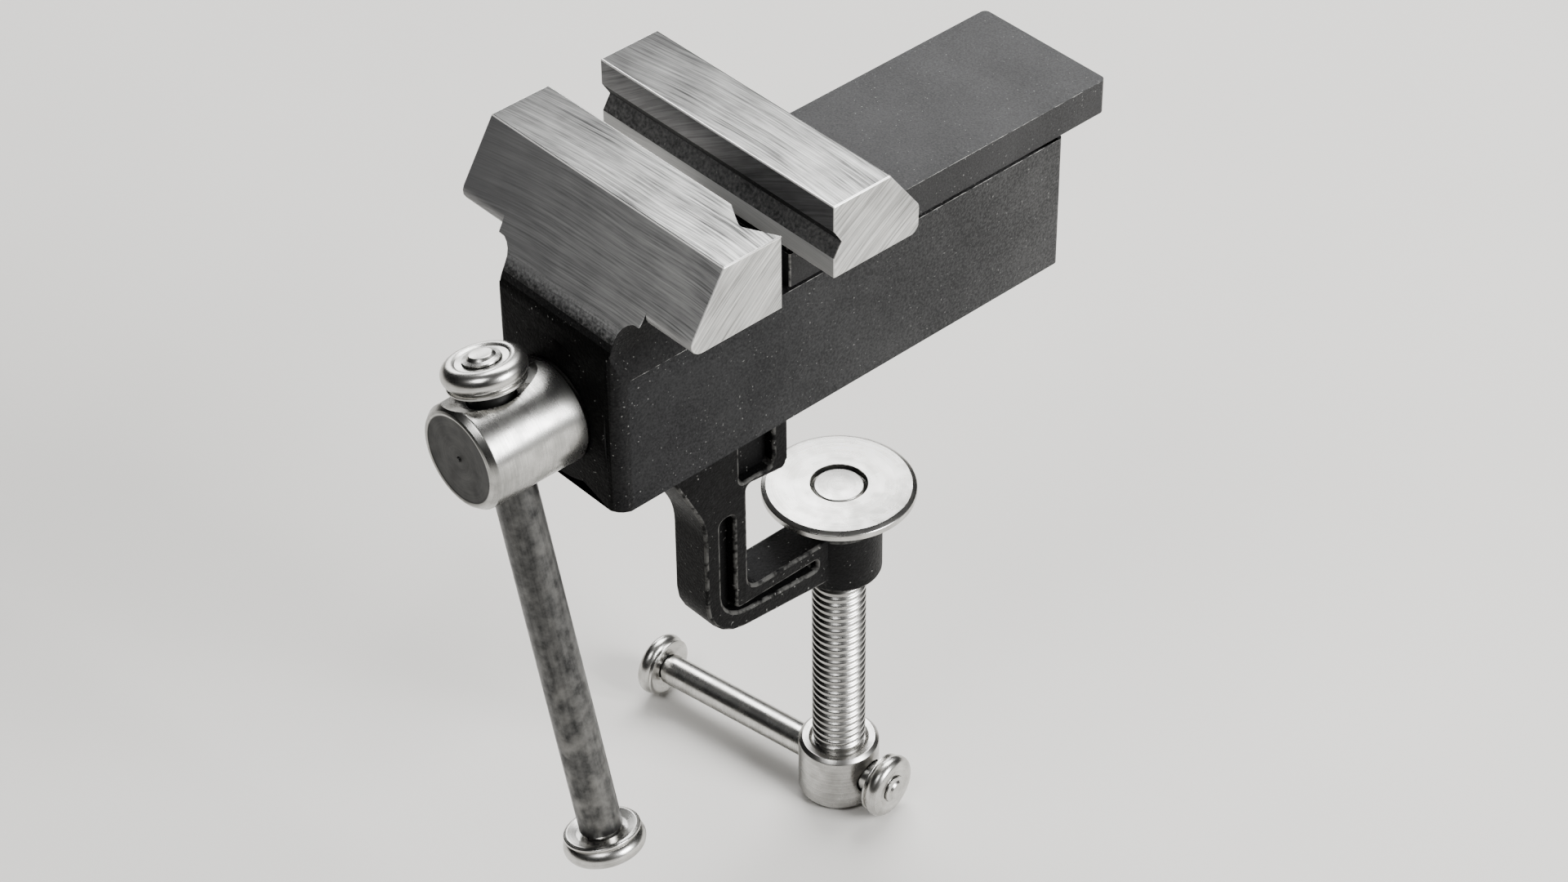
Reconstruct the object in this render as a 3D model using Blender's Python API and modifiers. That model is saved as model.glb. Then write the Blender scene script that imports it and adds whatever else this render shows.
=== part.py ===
"""Small clamp-on bench vise, as its separate pieces.

Metres, +Z up. The origin is on the underside of the body, straight above the axis of the clamp
screw: this is the face that sits on the bench. -Y is the end with the spindle head, and the
moving jaw opens towards +Y.
"""

import math

import bmesh
import bpy
from mathutils import Matrix, Vector

# Clearances
GAP = 0.0003  # between pieces that touch or run on each other
OVER = 0.002  # how far a cutter passes the face that it opens
SET_IN = 0.0004  # how far a joined block starts behind the face next to it

# Body: the casting with the fixed jaw
BODY_WIDTH = 0.024
BODY_HEIGHT = 0.02125
BODY_FRONT = -0.0498
BODY_REAR = 0.0307
BODY_EDGE = 0.0006
BODY_FRONT_CORNER = 0.0022
BODY_REAR_CORNER = 0.0009
SPINDLE_HEIGHT = 0.0117
BOSS_RADIUS = 0.0084
BOSS_FLARE = 0.0026  # how much wider the boss is where it leaves the casting
BOSS_PROUD = 0.0005
BOSS_ROOT = 0.0030
FRONT_WALL = 0.0096
CHANNEL_SIDE_ROOM = 0.0007  # between the nut's flange and the channel's side
CHANNEL_FLOOR = 0.0036
CHANNEL_ROOF = 0.0195
TONGUE_SLOT_RECESS = 0.0018  # how far the slot's foot is cut out on each side
TONGUE_SLOT_TOP = 0.0090

# Jaws
JAW_WIDTH = 0.045
JAW_TOP = 0.0413
JAW_HEIGHT = 0.0112
FIXED_JAW_FACE = -0.0307
FIXED_JAW_THICKNESS = 0.0095
FLANK_SLOPE = 0.62
FLANK_FOOT_RADIUS = 0.0017
NECK_WIDTH = 0.0218
NECK_FILLET = 0.0026
NECK_FRONT_RADIUS = 0.0090
NECK_SET_BACK = 0.00002  # of the neck behind the faces that it continues
NECK_FOOT_RISE = 0.0040
NECK_ROOT = 0.0030  # how far a neck reaches into the block above or below it
NOTCH_START = 0.0132
NOTCH_ROOT = 0.0174
NOTCH_DEPTH = 0.0025
NOTCH_RADIUS = 0.0012
JAW_OPENING = 0.0088

# Moving jaw
MOVING_JAW_THICKNESS = 0.0098
MOVING_JAW_DEPTH = 0.0148
MOVING_JAW_FOOT_HEIGHT = 0.0043  # of its thick foot, above its underside
MOVING_JAW_FOOT_RADIUS = 0.0016
GRIP_HEIGHT = 0.0039
GRIP_GROOVE_DEPTH = 0.0013
GRIP_GROOVE_DROP = 0.0021
GRIP_STRIP_HEIGHT = 0.0031
PLATE_WIDTH = 0.0235
PLATE_THICKNESS = 0.0053
PLATE_LENGTH = 0.0586
PLATE_CORNER = 0.0009
PLATE_EDGE = 0.0004
KEEL_SET_BACK = 0.0022
KEEL_LENGTH = 0.0160
SMALL_EDGE = 0.0004

# Spindle and its nut
SPINDLE_RADIUS = 0.0040
SPINDLE_END = 0.0263
HEAD_RADIUS = 0.0075
HEAD_LENGTH = 0.0156
HEAD_CHAMFER = 0.0009
CROSS_HOLE_FROM_HEAD_REAR = 0.0084
SPINDLE_END_CHAMFER = 0.0008
THRUST_WASHER_BAND = 0.0030
THRUST_WASHER_THICKNESS = 0.0010
COLLAR_BAND = 0.0025
COLLAR_LENGTH = 0.0050
PIN_RADIUS = 0.0010
NUT_WALL = 0.0013
NUT_FLANGE_BAND = 0.0013
NUT_FLANGE = 0.0025

# Handle of the spindle
BAR_RADIUS = 0.0030
BAR_TILT = math.radians(15.5)
BAR_GRIP = 0.0687  # clear length between the two knobs
KNOB_RADIUS = 0.00575
KNOB_THICKNESS = 0.0037
KNOB_RIM = 0.55  # share of the thickness that the full round rim takes
KNOB_STEP = 0.72  # step's radius, as a share of the rim's
SHANK = 0.8  # riveted end's radius, as a share of the bar's
RIVET_HEAD = 0.87  # rivet head's radius, as a share of the bar's
RIVET_HEIGHT = 0.0006

# Clamp bracket, part of the body casting
BRACKET_WIDTH = 0.0068
LEG_SPREAD = 0.0090  # how much further forward the leg starts, at the casting
SPREAD_RADIUS = 0.0060
LEG_CURVE_RADIUS = 0.0120
BEND_RADIUS = 0.0075
BEND_POCKET_RADIUS = 0.0050
THROAT_RADIUS = 0.0022
BRACKET_CORNER = 0.0010
POCKET_DROP = 0.0030  # from the edge stop's underside down to the leg's pocket
STOP_POCKET_TOP = 0.0015
STOP_FLANGE = 0.0016
STOP_POCKET_REACH = 0.0012  # how far the edge stop's pocket runs into the leg
WEB_THICKNESS = 0.0032
LEG_FRONT = -0.0281
LEG_REAR = -0.02045
LEG_FLARE = 0.0200
OUTER_FLANGE = 0.0027
INNER_FLANGE = 0.0024
EDGE_STOP = -0.0130
EDGE_STOP_DEPTH = 0.0177
EDGE_STOP_RISE = 0.0009  # how much higher its underside is at the leg
THROAT_DEPTH = 0.0360
ARM_DEPTH = 0.0070
ARM_RISE = 0.0012  # of the arm's underside at the bend
ARM_DROP = 0.0007  # of the arm's underside at the boss
CLAMP_BOSS_RADIUS = 0.0063
CLAMP_BOSS_HEIGHT = 0.0097

# Clamp screw and pressure pad
CLAMPED_THICKNESS = 0.0300
CLAMP_SCREW_RADIUS = 0.0040
CLAMP_SCREW_REACH = 0.0800  # from the seat down to the top of the screw's head
CLAMP_HEAD_RADIUS = 0.0061
CLAMP_HEAD_HEIGHT = 0.0102
CLAMP_HEAD_EDGE = 0.0005
PAD_RADIUS = 0.0112
PAD_THICKNESS = 0.0016
PAD_HUB_RADIUS = 0.0065
PAD_HUB_HEIGHT = 0.0022
PAD_SINK_RADIUS = 0.0042
PAD_SINK_DEPTH = 0.0008
PAD_EDGE = 0.0003
RIVET_DEPTH = 0.0020  # of the spigot's riveted end, below the pad's face
SPIGOT_RADIUS = 0.0025

# Handle of the clamp screw
CLAMP_BAR_RADIUS = 0.0024
CLAMP_BAR_TURN = math.radians(9.6)
CLAMP_BAR_GRIP = 0.0407
CLAMP_BAR_STAND_OFF = 0.0012  # of the near knob from the screw's head
CLAMP_KNOB_RADIUS = 0.00495
CLAMP_KNOB_THICKNESS = 0.0030

# Fineness
ROUND_STEPS = 48
SMALL_ROUND_STEPS = 32
ARC_STEPS = 5
RIM_STEPS = 7

# Places and sizes worked out from those above
THRUST_WASHER_RADIUS = SPINDLE_RADIUS + THRUST_WASHER_BAND
COLLAR_RADIUS = SPINDLE_RADIUS + COLLAR_BAND
NUT_RADIUS = SPINDLE_RADIUS + NUT_WALL
NUT_FLANGE_RADIUS = NUT_RADIUS + NUT_FLANGE_BAND
CHANNEL_WIDTH = 2 * (NUT_FLANGE_RADIUS + CHANNEL_SIDE_ROOM)
TONGUE_SLOT_WIDTH = CHANNEL_WIDTH + 2 * TONGUE_SLOT_RECESS
TONGUE_TOP = TONGUE_SLOT_TOP - GAP
HEAD_REAR = BODY_FRONT - BOSS_PROUD - GAP
BAR_PLACE = HEAD_REAR - CROSS_HOLE_FROM_HEAD_REAR
MOVING_JAW_FACE = FIXED_JAW_FACE + JAW_OPENING
JAW_UNDERSIDE = JAW_TOP - JAW_HEIGHT
WALL_REAR = BODY_FRONT + FRONT_WALL
PLATE_FRONT = MOVING_JAW_FACE + KEEL_SET_BACK
KEEL_REAR = PLATE_FRONT + KEEL_LENGTH
PLATE_UNDERSIDE = BODY_HEIGHT + GAP
PLATE_TOP = PLATE_UNDERSIDE + PLATE_THICKNESS
ARM_TOP = -THROAT_DEPTH
PAD_TOP = -CLAMPED_THICKNESS - GAP

# Directions
ALONG_X = Matrix(((0, 0, 1), (1, 0, 0), (0, 1, 0))).to_4x4()
ALONG_Y = Matrix(((1, 0, 0), (0, 0, -1), (0, 1, 0))).to_4x4()
ALONG_Z = Matrix.Identity(4)
BAR_AXIS = Vector((-math.sin(BAR_TILT), 0, math.cos(BAR_TILT)))
CLAMP_BAR_AXIS = Vector((math.cos(CLAMP_BAR_TURN), math.sin(CLAMP_BAR_TURN), 0))


def clear_scene():
    for thing in list(bpy.data.objects):
        bpy.data.objects.remove(thing, do_unlink=True)


def new_collection(name):
    collection = bpy.data.collections.new(name)
    bpy.context.scene.collection.children.link(collection)
    return collection


def new_material(name, colour, roughness, metallic):
    material = bpy.data.materials.new(name)
    material.use_nodes = True
    shader = material.node_tree.nodes["Principled BSDF"]
    shader.inputs["Base Color"].default_value = (*colour, 1)
    shader.inputs["Roughness"].default_value = roughness
    shader.inputs["Metallic"].default_value = metallic
    material.diffuse_color = (*colour, 1)
    return material


clear_scene()
VISE = new_collection("bench_vise")
CUTTERS = new_collection("cutters")
CUTTERS.hide_render = True


def add_object(name, mesh, place=ALONG_Z):
    thing = bpy.data.objects.new(name, mesh)
    thing.matrix_world = place
    return thing


def piece(thing, colour, roughness, metallic):
    """Makes an object one of the vise's pieces, with its own material."""
    VISE.objects.link(thing)
    thing.data.materials.clear()
    thing.data.materials.append(new_material(thing.name, colour, roughness, metallic))


def tool(thing):
    """Makes an object a cutter or a part of a union, which isn't itself a piece."""
    CUTTERS.objects.link(thing)
    thing.hide_render = True
    thing.display_type = "WIRE"
    return thing


def combine(thing, other, operation):
    modifier = thing.modifiers.new(other.name, "BOOLEAN")
    modifier.operation = operation
    modifier.solver = "EXACT"
    modifier.object = other


def join(thing, *others):
    for other in others:
        combine(thing, tool(other), "UNION")


def cut(thing, *others):
    for other in others:
        combine(thing, other if other.name in CUTTERS.objects else tool(other), "DIFFERENCE")


def arc_corners(corners):
    """The points of a closed outline whose corners are (u, v, radius)."""
    points = []
    for index, (u, v, radius) in enumerate(corners):
        corner = Vector((u, v))
        if radius == 0:
            points.append(corner)
            continue
        back = (Vector(corners[index - 1][:2]) - corner).normalized()
        ahead = (Vector(corners[(index + 1) % len(corners)][:2]) - corner).normalized()
        half = back.angle(ahead) / 2
        start = corner + back * radius / math.tan(half)
        end = corner + ahead * radius / math.tan(half)
        centre = corner + (back + ahead).normalized() * radius / math.sin(half)
        sweep = (end - centre).angle_signed(start - centre)
        for step in range(ARC_STEPS + 1):
            turn = Matrix.Rotation(sweep * step / ARC_STEPS, 2)
            points.append(centre + turn @ (start - centre))
    return points


def mirrored(half):
    """An outline's corners, from those of its half at positive u, top to bottom."""
    return half + [(-u, v, radius) for u, v, radius in reversed(half)]


def slab(name, corners, along, low, high):
    """A flat outline pulled along one axis, from low to high."""
    curve = bpy.data.curves.new(name, "CURVE")
    curve.dimensions = "2D"
    curve.fill_mode = "BOTH"
    curve.extrude = (high - low) / 2
    points = arc_corners(corners)
    spline = curve.splines.new("POLY")
    spline.points.add(len(points) - 1)
    for target, point in zip(spline.points, points):
        target.co = (point.x, point.y, 0, 1)
    spline.use_cyclic_u = True
    drawn = bpy.data.objects.new(name + "_outline", curve)
    bpy.context.scene.collection.objects.link(drawn)
    middle = (low + high) / 2 * (-1 if along is ALONG_Y else 1)
    drawn.matrix_world = along @ Matrix.Translation((0, 0, middle))
    graph = bpy.context.evaluated_depsgraph_get()
    mesh = bpy.data.meshes.new_from_object(drawn.evaluated_get(graph))
    mesh.name = name
    weld = bmesh.new()
    weld.from_mesh(mesh)
    bmesh.ops.remove_doubles(weld, verts=weld.verts, dist=1e-6)
    bmesh.ops.recalc_face_normals(weld, faces=weld.faces)
    weld.to_mesh(mesh)
    weld.free()
    thing = add_object(name, mesh, drawn.matrix_world.copy())
    bpy.data.objects.remove(drawn, do_unlink=True)
    bpy.data.curves.remove(curve)
    return thing


def box(name, low, high):
    """A block between two corners."""
    mesh = bpy.data.meshes.new(name)
    build = bmesh.new()
    bmesh.ops.create_cube(build, size=1)
    size = [b - a for a, b in zip(low, high)]
    bmesh.ops.scale(build, vec=size, verts=build.verts)
    build.to_mesh(mesh)
    build.free()
    middle = [(a + b) / 2 for a, b in zip(low, high)]
    return add_object(name, mesh, Matrix.Translation(middle))


def soften(thing, edge):
    """Rounds a slab's square edges."""
    bevel = thing.modifiers.new("edges", "BEVEL")
    bevel.width = edge
    bevel.segments = 2
    bevel.limit_method = "ANGLE"
    bevel.angle_limit = math.radians(50)


def rod(name, start, axis, length, radius, steps=SMALL_ROUND_STEPS):
    """A cylinder from start, along axis."""
    mesh = bpy.data.meshes.new(name)
    build = bmesh.new()
    bmesh.ops.create_cone(
        build, cap_ends=True, segments=steps, radius1=radius, radius2=radius, depth=length
    )
    build.to_mesh(mesh)
    build.free()
    mesh.shade_smooth()
    mesh.set_sharp_from_angle(angle=math.radians(40))
    axis = Vector(axis).normalized()
    turn = axis.to_track_quat("Z", "Y").to_matrix().to_4x4()
    middle = Vector(start) + axis * length / 2
    return add_object(name, mesh, Matrix.Translation(middle) @ turn)


def turned(name, profile, place, axis, steps=ROUND_STEPS, ring=False):
    """A turned piece from (radius, height) points, which run down its outer side.

    Heights are measured from place along axis. A ring's profile is closed back up its bore.
    """
    mesh = bpy.data.meshes.new(name)
    points = [(radius, 0, height) for radius, height in profile]
    edges = [(index, index + 1) for index in range(len(points) - 1)]
    if ring:
        edges.append((len(points) - 1, 0))
    mesh.from_pydata(points, edges, [])
    turn = Vector(axis).normalized().to_track_quat("Z", "Y").to_matrix().to_4x4()
    thing = add_object(name, mesh, Matrix.Translation(place) @ turn)
    screw = thing.modifiers.new("turning", "SCREW")
    screw.steps = steps
    screw.render_steps = steps
    screw.use_merge_vertices = True
    screw.merge_threshold = 1e-5
    screw.use_smooth_shade = True
    return thing


def washer(name, radius, bore, thickness, place, axis):
    profile = [(bore, thickness), (radius, thickness), (radius, 0), (bore, 0)]
    return turned(name, profile, place, axis, ring=True)


# The body


def flank(height):
    """Where the fixed jaw's sloping front flank is at a height."""
    return FIXED_JAW_FACE - FIXED_JAW_THICKNESS - FLANK_SLOPE * (JAW_TOP - height)


def jaw_neck():
    """The fixed jaw's neck: an end view and a side view, cut out of each other."""
    half_neck = NECK_WIDTH / 2
    half_foot = BODY_WIDTH / 2 - NECK_SET_BACK
    half_top = half_neck + NECK_FILLET + SET_IN
    top = JAW_UNDERSIDE + NECK_ROOT
    low = BODY_HEIGHT - NECK_ROOT
    end_view = mirrored(
        [
            (half_top, top, 0),
            (half_top, JAW_UNDERSIDE + SET_IN, 0),
            (half_neck, JAW_UNDERSIDE + SET_IN, NECK_FILLET),
            (half_neck, BODY_HEIGHT + NECK_FOOT_RISE, NECK_FILLET),
            (half_foot, BODY_HEIGHT + SET_IN, 0),
            (half_foot, low, 0),
        ]
    )
    front = BODY_FRONT + NECK_SET_BACK
    rear = FIXED_JAW_FACE - NECK_SET_BACK
    foot = JAW_TOP - (flank(JAW_TOP) + NECK_SET_BACK - front) / FLANK_SLOPE
    side_view = [
        (rear, top + OVER, 0),
        (flank(top + OVER) + NECK_SET_BACK, top + OVER, 0),
        (front, foot, NECK_FRONT_RADIUS),
        (front, low - OVER, 0),
        (rear, low - OVER, 0),
    ]
    neck = slab("fixed_jaw_neck", end_view, ALONG_Y, front - OVER, rear + OVER)
    sides = slab("neck_sides", side_view, ALONG_X, -half_top - OVER, half_top + OVER)
    combine(neck, tool(sides), "INTERSECT")
    return neck


def front_corner_cutter(side):
    """What is cut away to round one of the casting's two upright front corners."""
    corner = (side * (BODY_WIDTH / 2 + OVER), BODY_FRONT - OVER)
    inner = (side * (BODY_WIDTH / 2 - BODY_FRONT_CORNER), BODY_FRONT + BODY_FRONT_CORNER)
    outline = [
        (inner[0], corner[1], 0),
        (corner[0], corner[1], 0),
        (corner[0], inner[1], 0),
        (side * BODY_WIDTH / 2, inner[1], 0),
        (side * BODY_WIDTH / 2, BODY_FRONT, BODY_FRONT_CORNER),
        (inner[0], BODY_FRONT, 0),
    ]
    top = JAW_UNDERSIDE - NECK_FILLET
    return slab(f"front_corner_{side}", outline, ALONG_Z, -OVER, top)


def jaw_overhang():
    """The fixed jaw's wide block, with its notched end."""
    half_jaw = JAW_WIDTH / 2
    side_view = [
        (FIXED_JAW_FACE, JAW_TOP, 0),
        (flank(JAW_TOP), JAW_TOP, 0),
        (flank(JAW_UNDERSIDE), JAW_UNDERSIDE, FLANK_FOOT_RADIUS),
        (FIXED_JAW_FACE, JAW_UNDERSIDE, 0),
    ]
    return slab("fixed_jaw", side_view, ALONG_X, -half_jaw, half_jaw)


def jaw_notch():
    notch = [
        (NOTCH_START, FIXED_JAW_FACE, 0),
        (NOTCH_START, FIXED_JAW_FACE + OVER, 0),
        (JAW_WIDTH / 2 + OVER, FIXED_JAW_FACE + OVER, 0),
        (JAW_WIDTH / 2 - NECK_SET_BACK, FIXED_JAW_FACE, 0),
        (NOTCH_ROOT, FIXED_JAW_FACE - NOTCH_DEPTH, NOTCH_RADIUS),
    ]
    return slab("notch", notch, ALONG_Z, JAW_UNDERSIDE - OVER, JAW_TOP + OVER)


def bracket_outline():
    """The clamp bracket's side view: flared leg, edge stop, leg's bend and arm."""
    spread = LEG_FRONT - LEG_SPREAD
    underside = ARM_TOP - ARM_DEPTH
    return [
        (spread, BODY_HEIGHT / 4, 0),
        (spread, -OVER, SPREAD_RADIUS),
        (LEG_FRONT, -LEG_FLARE, LEG_CURVE_RADIUS),
        (LEG_FRONT, underside + ARM_RISE, BEND_RADIUS),
        (-CLAMP_BOSS_RADIUS, underside - ARM_DROP, 0),
        (0, underside - ARM_DROP, 0),
        (0, ARM_TOP, 0),
        (LEG_REAR, ARM_TOP, THROAT_RADIUS),
        (LEG_REAR, -EDGE_STOP_DEPTH + EDGE_STOP_RISE, BRACKET_CORNER),
        (EDGE_STOP, -EDGE_STOP_DEPTH, BRACKET_CORNER),
        (EDGE_STOP, BODY_HEIGHT / 4, 0),
    ]


def bracket_pockets(side):
    """The two hollows that leave the bracket's flanges proud of its web, on one side."""
    web = WEB_THICKNESS / 2
    low, high = sorted((side * web, side * (BRACKET_WIDTH / 2 + OVER)))
    leg_low = LEG_FRONT + OUTER_FLANGE
    leg_high = LEG_REAR - INNER_FLANGE
    arm_end = -CLAMP_BOSS_RADIUS - BRACKET_CORNER
    top = -EDGE_STOP_DEPTH - POCKET_DROP
    floor = ARM_TOP - ARM_DEPTH + OUTER_FLANGE
    roof = ARM_TOP - INNER_FLANGE
    bend = [
        (leg_low, top, BRACKET_CORNER),
        (leg_low, floor + ARM_RISE, BEND_POCKET_RADIUS),
        (arm_end, floor, ARM_DROP),
        (arm_end, roof, ARM_DROP),
        (leg_high, roof, BRACKET_CORNER),
        (leg_high, top, BRACKET_CORNER),
    ]
    front = LEG_REAR - STOP_POCKET_REACH
    rear = EDGE_STOP - INNER_FLANGE
    low_edge = -EDGE_STOP_DEPTH + STOP_FLANGE
    stop = [
        (front, -STOP_POCKET_TOP, BRACKET_CORNER),
        (front, low_edge, BRACKET_CORNER),
        (rear, low_edge, BRACKET_CORNER),
        (rear, -STOP_POCKET_TOP, BRACKET_CORNER),
    ]
    return [
        slab(f"bend_pocket_{side}", bend, ALONG_X, low, high),
        slab(f"stop_pocket_{side}", stop, ALONG_X, low, high),
    ]


def channel_cutters():
    """The slideway: a deep slot open at the top and rear, with a wider foot for the tongue."""
    rear = BODY_REAR + OVER
    half = CHANNEL_WIDTH / 2
    foot = TONGUE_SLOT_WIDTH / 2
    return [
        box("channel", (-half, WALL_REAR, CHANNEL_FLOOR), (half, rear, CHANNEL_ROOF)),
        box("channel_mouth", (-half, FIXED_JAW_FACE, CHANNEL_ROOF - OVER), (half, rear, JAW_TOP)),
        box("tongue_slot", (-foot, WALL_REAR, CHANNEL_FLOOR), (foot, rear, TONGUE_SLOT_TOP)),
    ]


def make_body():
    half = BODY_WIDTH / 2
    plan_view = [
        (-half, BODY_FRONT, 0),
        (half, BODY_FRONT, 0),
        (half, BODY_REAR, BODY_REAR_CORNER),
        (-half, BODY_REAR, BODY_REAR_CORNER),
    ]
    body = slab("body", plan_view, ALONG_Z, 0, BODY_HEIGHT)
    soften(body, BODY_EDGE)
    piece(body, (0.045, 0.046, 0.048), 0.5, 0.0)
    boss_outline = [
        (0, BOSS_PROUD),
        (BOSS_RADIUS, BOSS_PROUD),
        (BOSS_RADIUS + BOSS_FLARE, 0),
        (BOSS_RADIUS + BOSS_FLARE, -BOSS_ROOT),
        (0, -BOSS_ROOT),
    ]
    boss = turned("spindle_boss", boss_outline, (0, BODY_FRONT, SPINDLE_HEIGHT), (0, -1, 0))
    half_bracket = BRACKET_WIDTH / 2
    bracket = slab("clamp_bracket", bracket_outline(), ALONG_X, -half_bracket, half_bracket)
    boss_low = ARM_TOP - CLAMP_BOSS_HEIGHT
    clamp_boss = rod(
        "clamp_boss", (0, 0, boss_low), (0, 0, 1), CLAMP_BOSS_HEIGHT, CLAMP_BOSS_RADIUS, ROUND_STEPS
    )
    join(body, jaw_overhang(), jaw_neck(), boss, bracket, clamp_boss)
    for side in (-1, 1):
        cut(body, front_corner_cutter(side), *bracket_pockets(side))
    cut(body, *channel_cutters())
    bore = SPINDLE_RADIUS + GAP
    through = FRONT_WALL + BOSS_PROUD + 2 * OVER
    start = (0, WALL_REAR + OVER, SPINDLE_HEIGHT)
    cut(body, rod("spindle_bore", start, (0, -1, 0), through, bore))
    seat_depth = THRUST_WASHER_THICKNESS + GAP
    seat = (0, BODY_FRONT - BOSS_PROUD + seat_depth, SPINDLE_HEIGHT)
    cut(body, rod("washer_seat", seat, (0, -1, 0), seat_depth + OVER, THRUST_WASHER_RADIUS + GAP))
    hole_low = (0, 0, boss_low - OVER)
    hole_length = CLAMP_BOSS_HEIGHT + 2 * OVER
    cut(body, rod("clamp_thread", hole_low, (0, 0, 1), hole_length, CLAMP_SCREW_RADIUS + GAP))
    cut(body, jaw_notch())


# The moving jaw


def make_moving_jaw():
    half_jaw = JAW_WIDTH / 2
    face = MOVING_JAW_FACE
    groove_low = JAW_UNDERSIDE + GRIP_STRIP_HEIGHT
    side_view = [
        (face, JAW_TOP, 0),
        (face, JAW_TOP - GRIP_HEIGHT, 0),
        (face + GRIP_GROOVE_DEPTH, JAW_TOP - GRIP_HEIGHT - GRIP_GROOVE_DROP, 0),
        (face, groove_low, 0),
        (face, JAW_UNDERSIDE, 0),
        (face + MOVING_JAW_DEPTH, JAW_UNDERSIDE, MOVING_JAW_FOOT_RADIUS),
        (face + MOVING_JAW_DEPTH, JAW_UNDERSIDE + MOVING_JAW_FOOT_HEIGHT, MOVING_JAW_FOOT_RADIUS),
        (face + MOVING_JAW_THICKNESS, JAW_TOP, 0),
    ]
    jaw = slab("moving_jaw", side_view, ALONG_X, -half_jaw, half_jaw)
    piece(jaw, (0.42, 0.42, 0.42), 0.35, 0.9)
    half_neck = NECK_WIDTH / 2
    neck = box(
        "moving_neck",
        (-half_neck, PLATE_FRONT + SET_IN, PLATE_TOP - NECK_ROOT),
        (half_neck, face + MOVING_JAW_DEPTH - NECK_FILLET, JAW_UNDERSIDE + NECK_ROOT),
    )
    half_plate = PLATE_WIDTH / 2
    plate_rear = PLATE_FRONT + PLATE_LENGTH
    plate = [
        (-half_plate, PLATE_FRONT, SMALL_EDGE),
        (half_plate, PLATE_FRONT, SMALL_EDGE),
        (half_plate, plate_rear, PLATE_CORNER),
        (-half_plate, plate_rear, PLATE_CORNER),
    ]
    top_plate = slab("top_plate", plate, ALONG_Z, PLATE_UNDERSIDE, PLATE_TOP)
    soften(top_plate, PLATE_EDGE)
    half_keel = CHANNEL_WIDTH / 2 - GAP
    half_tongue = TONGUE_SLOT_WIDTH / 2 - GAP
    keel_view = mirrored(
        [
            (half_keel, PLATE_TOP - SET_IN, 0),
            (half_keel, TONGUE_TOP, SMALL_EDGE),
            (half_tongue, TONGUE_TOP, SMALL_EDGE),
            (half_tongue, CHANNEL_FLOOR + GAP, SMALL_EDGE),
        ]
    )
    keel = slab("keel", keel_view, ALONG_Y, PLATE_FRONT + SET_IN, KEEL_REAR)
    join(jaw, neck, top_plate, keel)
    start = (0, PLATE_FRONT - OVER, SPINDLE_HEIGHT)
    length = KEEL_LENGTH + 2 * OVER
    cut(jaw, rod("nut_bore", start, (0, 1, 0), length, NUT_RADIUS + GAP))
    cut(jaw, pin_hole("nut_pin_hole", nut_pin_place(), (1, 0, 0), TONGUE_SLOT_WIDTH))


def pin_hole(name, middle, axis, length):
    start = Vector(middle) - Vector(axis) * length / 2
    return rod(name, start, axis, length, PIN_RADIUS + GAP)


def nut_pin_place():
    return (0, PLATE_FRONT + KEEL_LENGTH / 2, SPINDLE_HEIGHT + NUT_RADIUS)


def collar_place():
    return WALL_REAR + 2 * GAP + THRUST_WASHER_THICKNESS


# The spindle and what is on it


def make_spindle():
    origin = (0, BAR_PLACE, SPINDLE_HEIGHT)
    head_rear = BAR_PLACE - HEAD_REAR
    head_front = head_rear + HEAD_LENGTH
    tail = BAR_PLACE - SPINDLE_END
    profile = [
        (0, head_front),
        (HEAD_RADIUS - HEAD_CHAMFER, head_front),
        (HEAD_RADIUS, head_front - HEAD_CHAMFER),
        (HEAD_RADIUS, head_rear + GAP),
        (HEAD_RADIUS - GAP, head_rear),
        (SPINDLE_RADIUS, head_rear),
        (SPINDLE_RADIUS, tail + SPINDLE_END_CHAMFER),
        (SPINDLE_RADIUS - SPINDLE_END_CHAMFER, tail),
        (0, tail),
    ]
    spindle = turned("spindle", profile, origin, (0, -1, 0))
    piece(spindle, (0.55, 0.55, 0.54), 0.25, 1.0)
    start = Vector(origin) - BAR_AXIS * 2 * HEAD_RADIUS
    cut(spindle, rod("bar_hole", start, BAR_AXIS, 4 * HEAD_RADIUS, BAR_RADIUS + GAP))
    middle = (0, collar_place() + COLLAR_LENGTH / 2, SPINDLE_HEIGHT)
    cut(spindle, pin_hole("spindle_pin_hole", middle, (0, 0, 1), 4 * COLLAR_RADIUS))


def make_thrust_parts():
    """The two thrust washers, and the collar with its cross pin behind the front wall."""
    bore = SPINDLE_RADIUS + GAP
    front = (0, HEAD_REAR + GAP + THRUST_WASHER_THICKNESS, SPINDLE_HEIGHT)
    for name, place in (
        ("front_thrust_washer", front),
        ("rear_thrust_washer", (0, WALL_REAR + GAP + THRUST_WASHER_THICKNESS, SPINDLE_HEIGHT)),
    ):
        ring = washer(
            name, THRUST_WASHER_RADIUS - GAP, bore, THRUST_WASHER_THICKNESS, place, (0, -1, 0)
        )
        piece(ring, (0.50, 0.50, 0.49), 0.35, 1.0)
    collar_rear = collar_place() + COLLAR_LENGTH
    rear_middle = (0, collar_rear, SPINDLE_HEIGHT)
    collar = washer(
        "retaining_collar", COLLAR_RADIUS, bore, COLLAR_LENGTH, rear_middle, (0, -1, 0)
    )
    piece(collar, (0.40, 0.40, 0.40), 0.4, 1.0)
    middle = Vector((0, collar_place() + COLLAR_LENGTH / 2, SPINDLE_HEIGHT))
    cut(collar, pin_hole("collar_pin_hole", middle, (0, 0, 1), 4 * COLLAR_RADIUS))
    length = 2 * (COLLAR_RADIUS - GAP)
    pin = rod("collar_pin", middle - Vector((0, 0, length / 2)), (0, 0, 1), length, PIN_RADIUS)
    piece(pin, (0.45, 0.45, 0.46), 0.3, 1.0)


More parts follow.
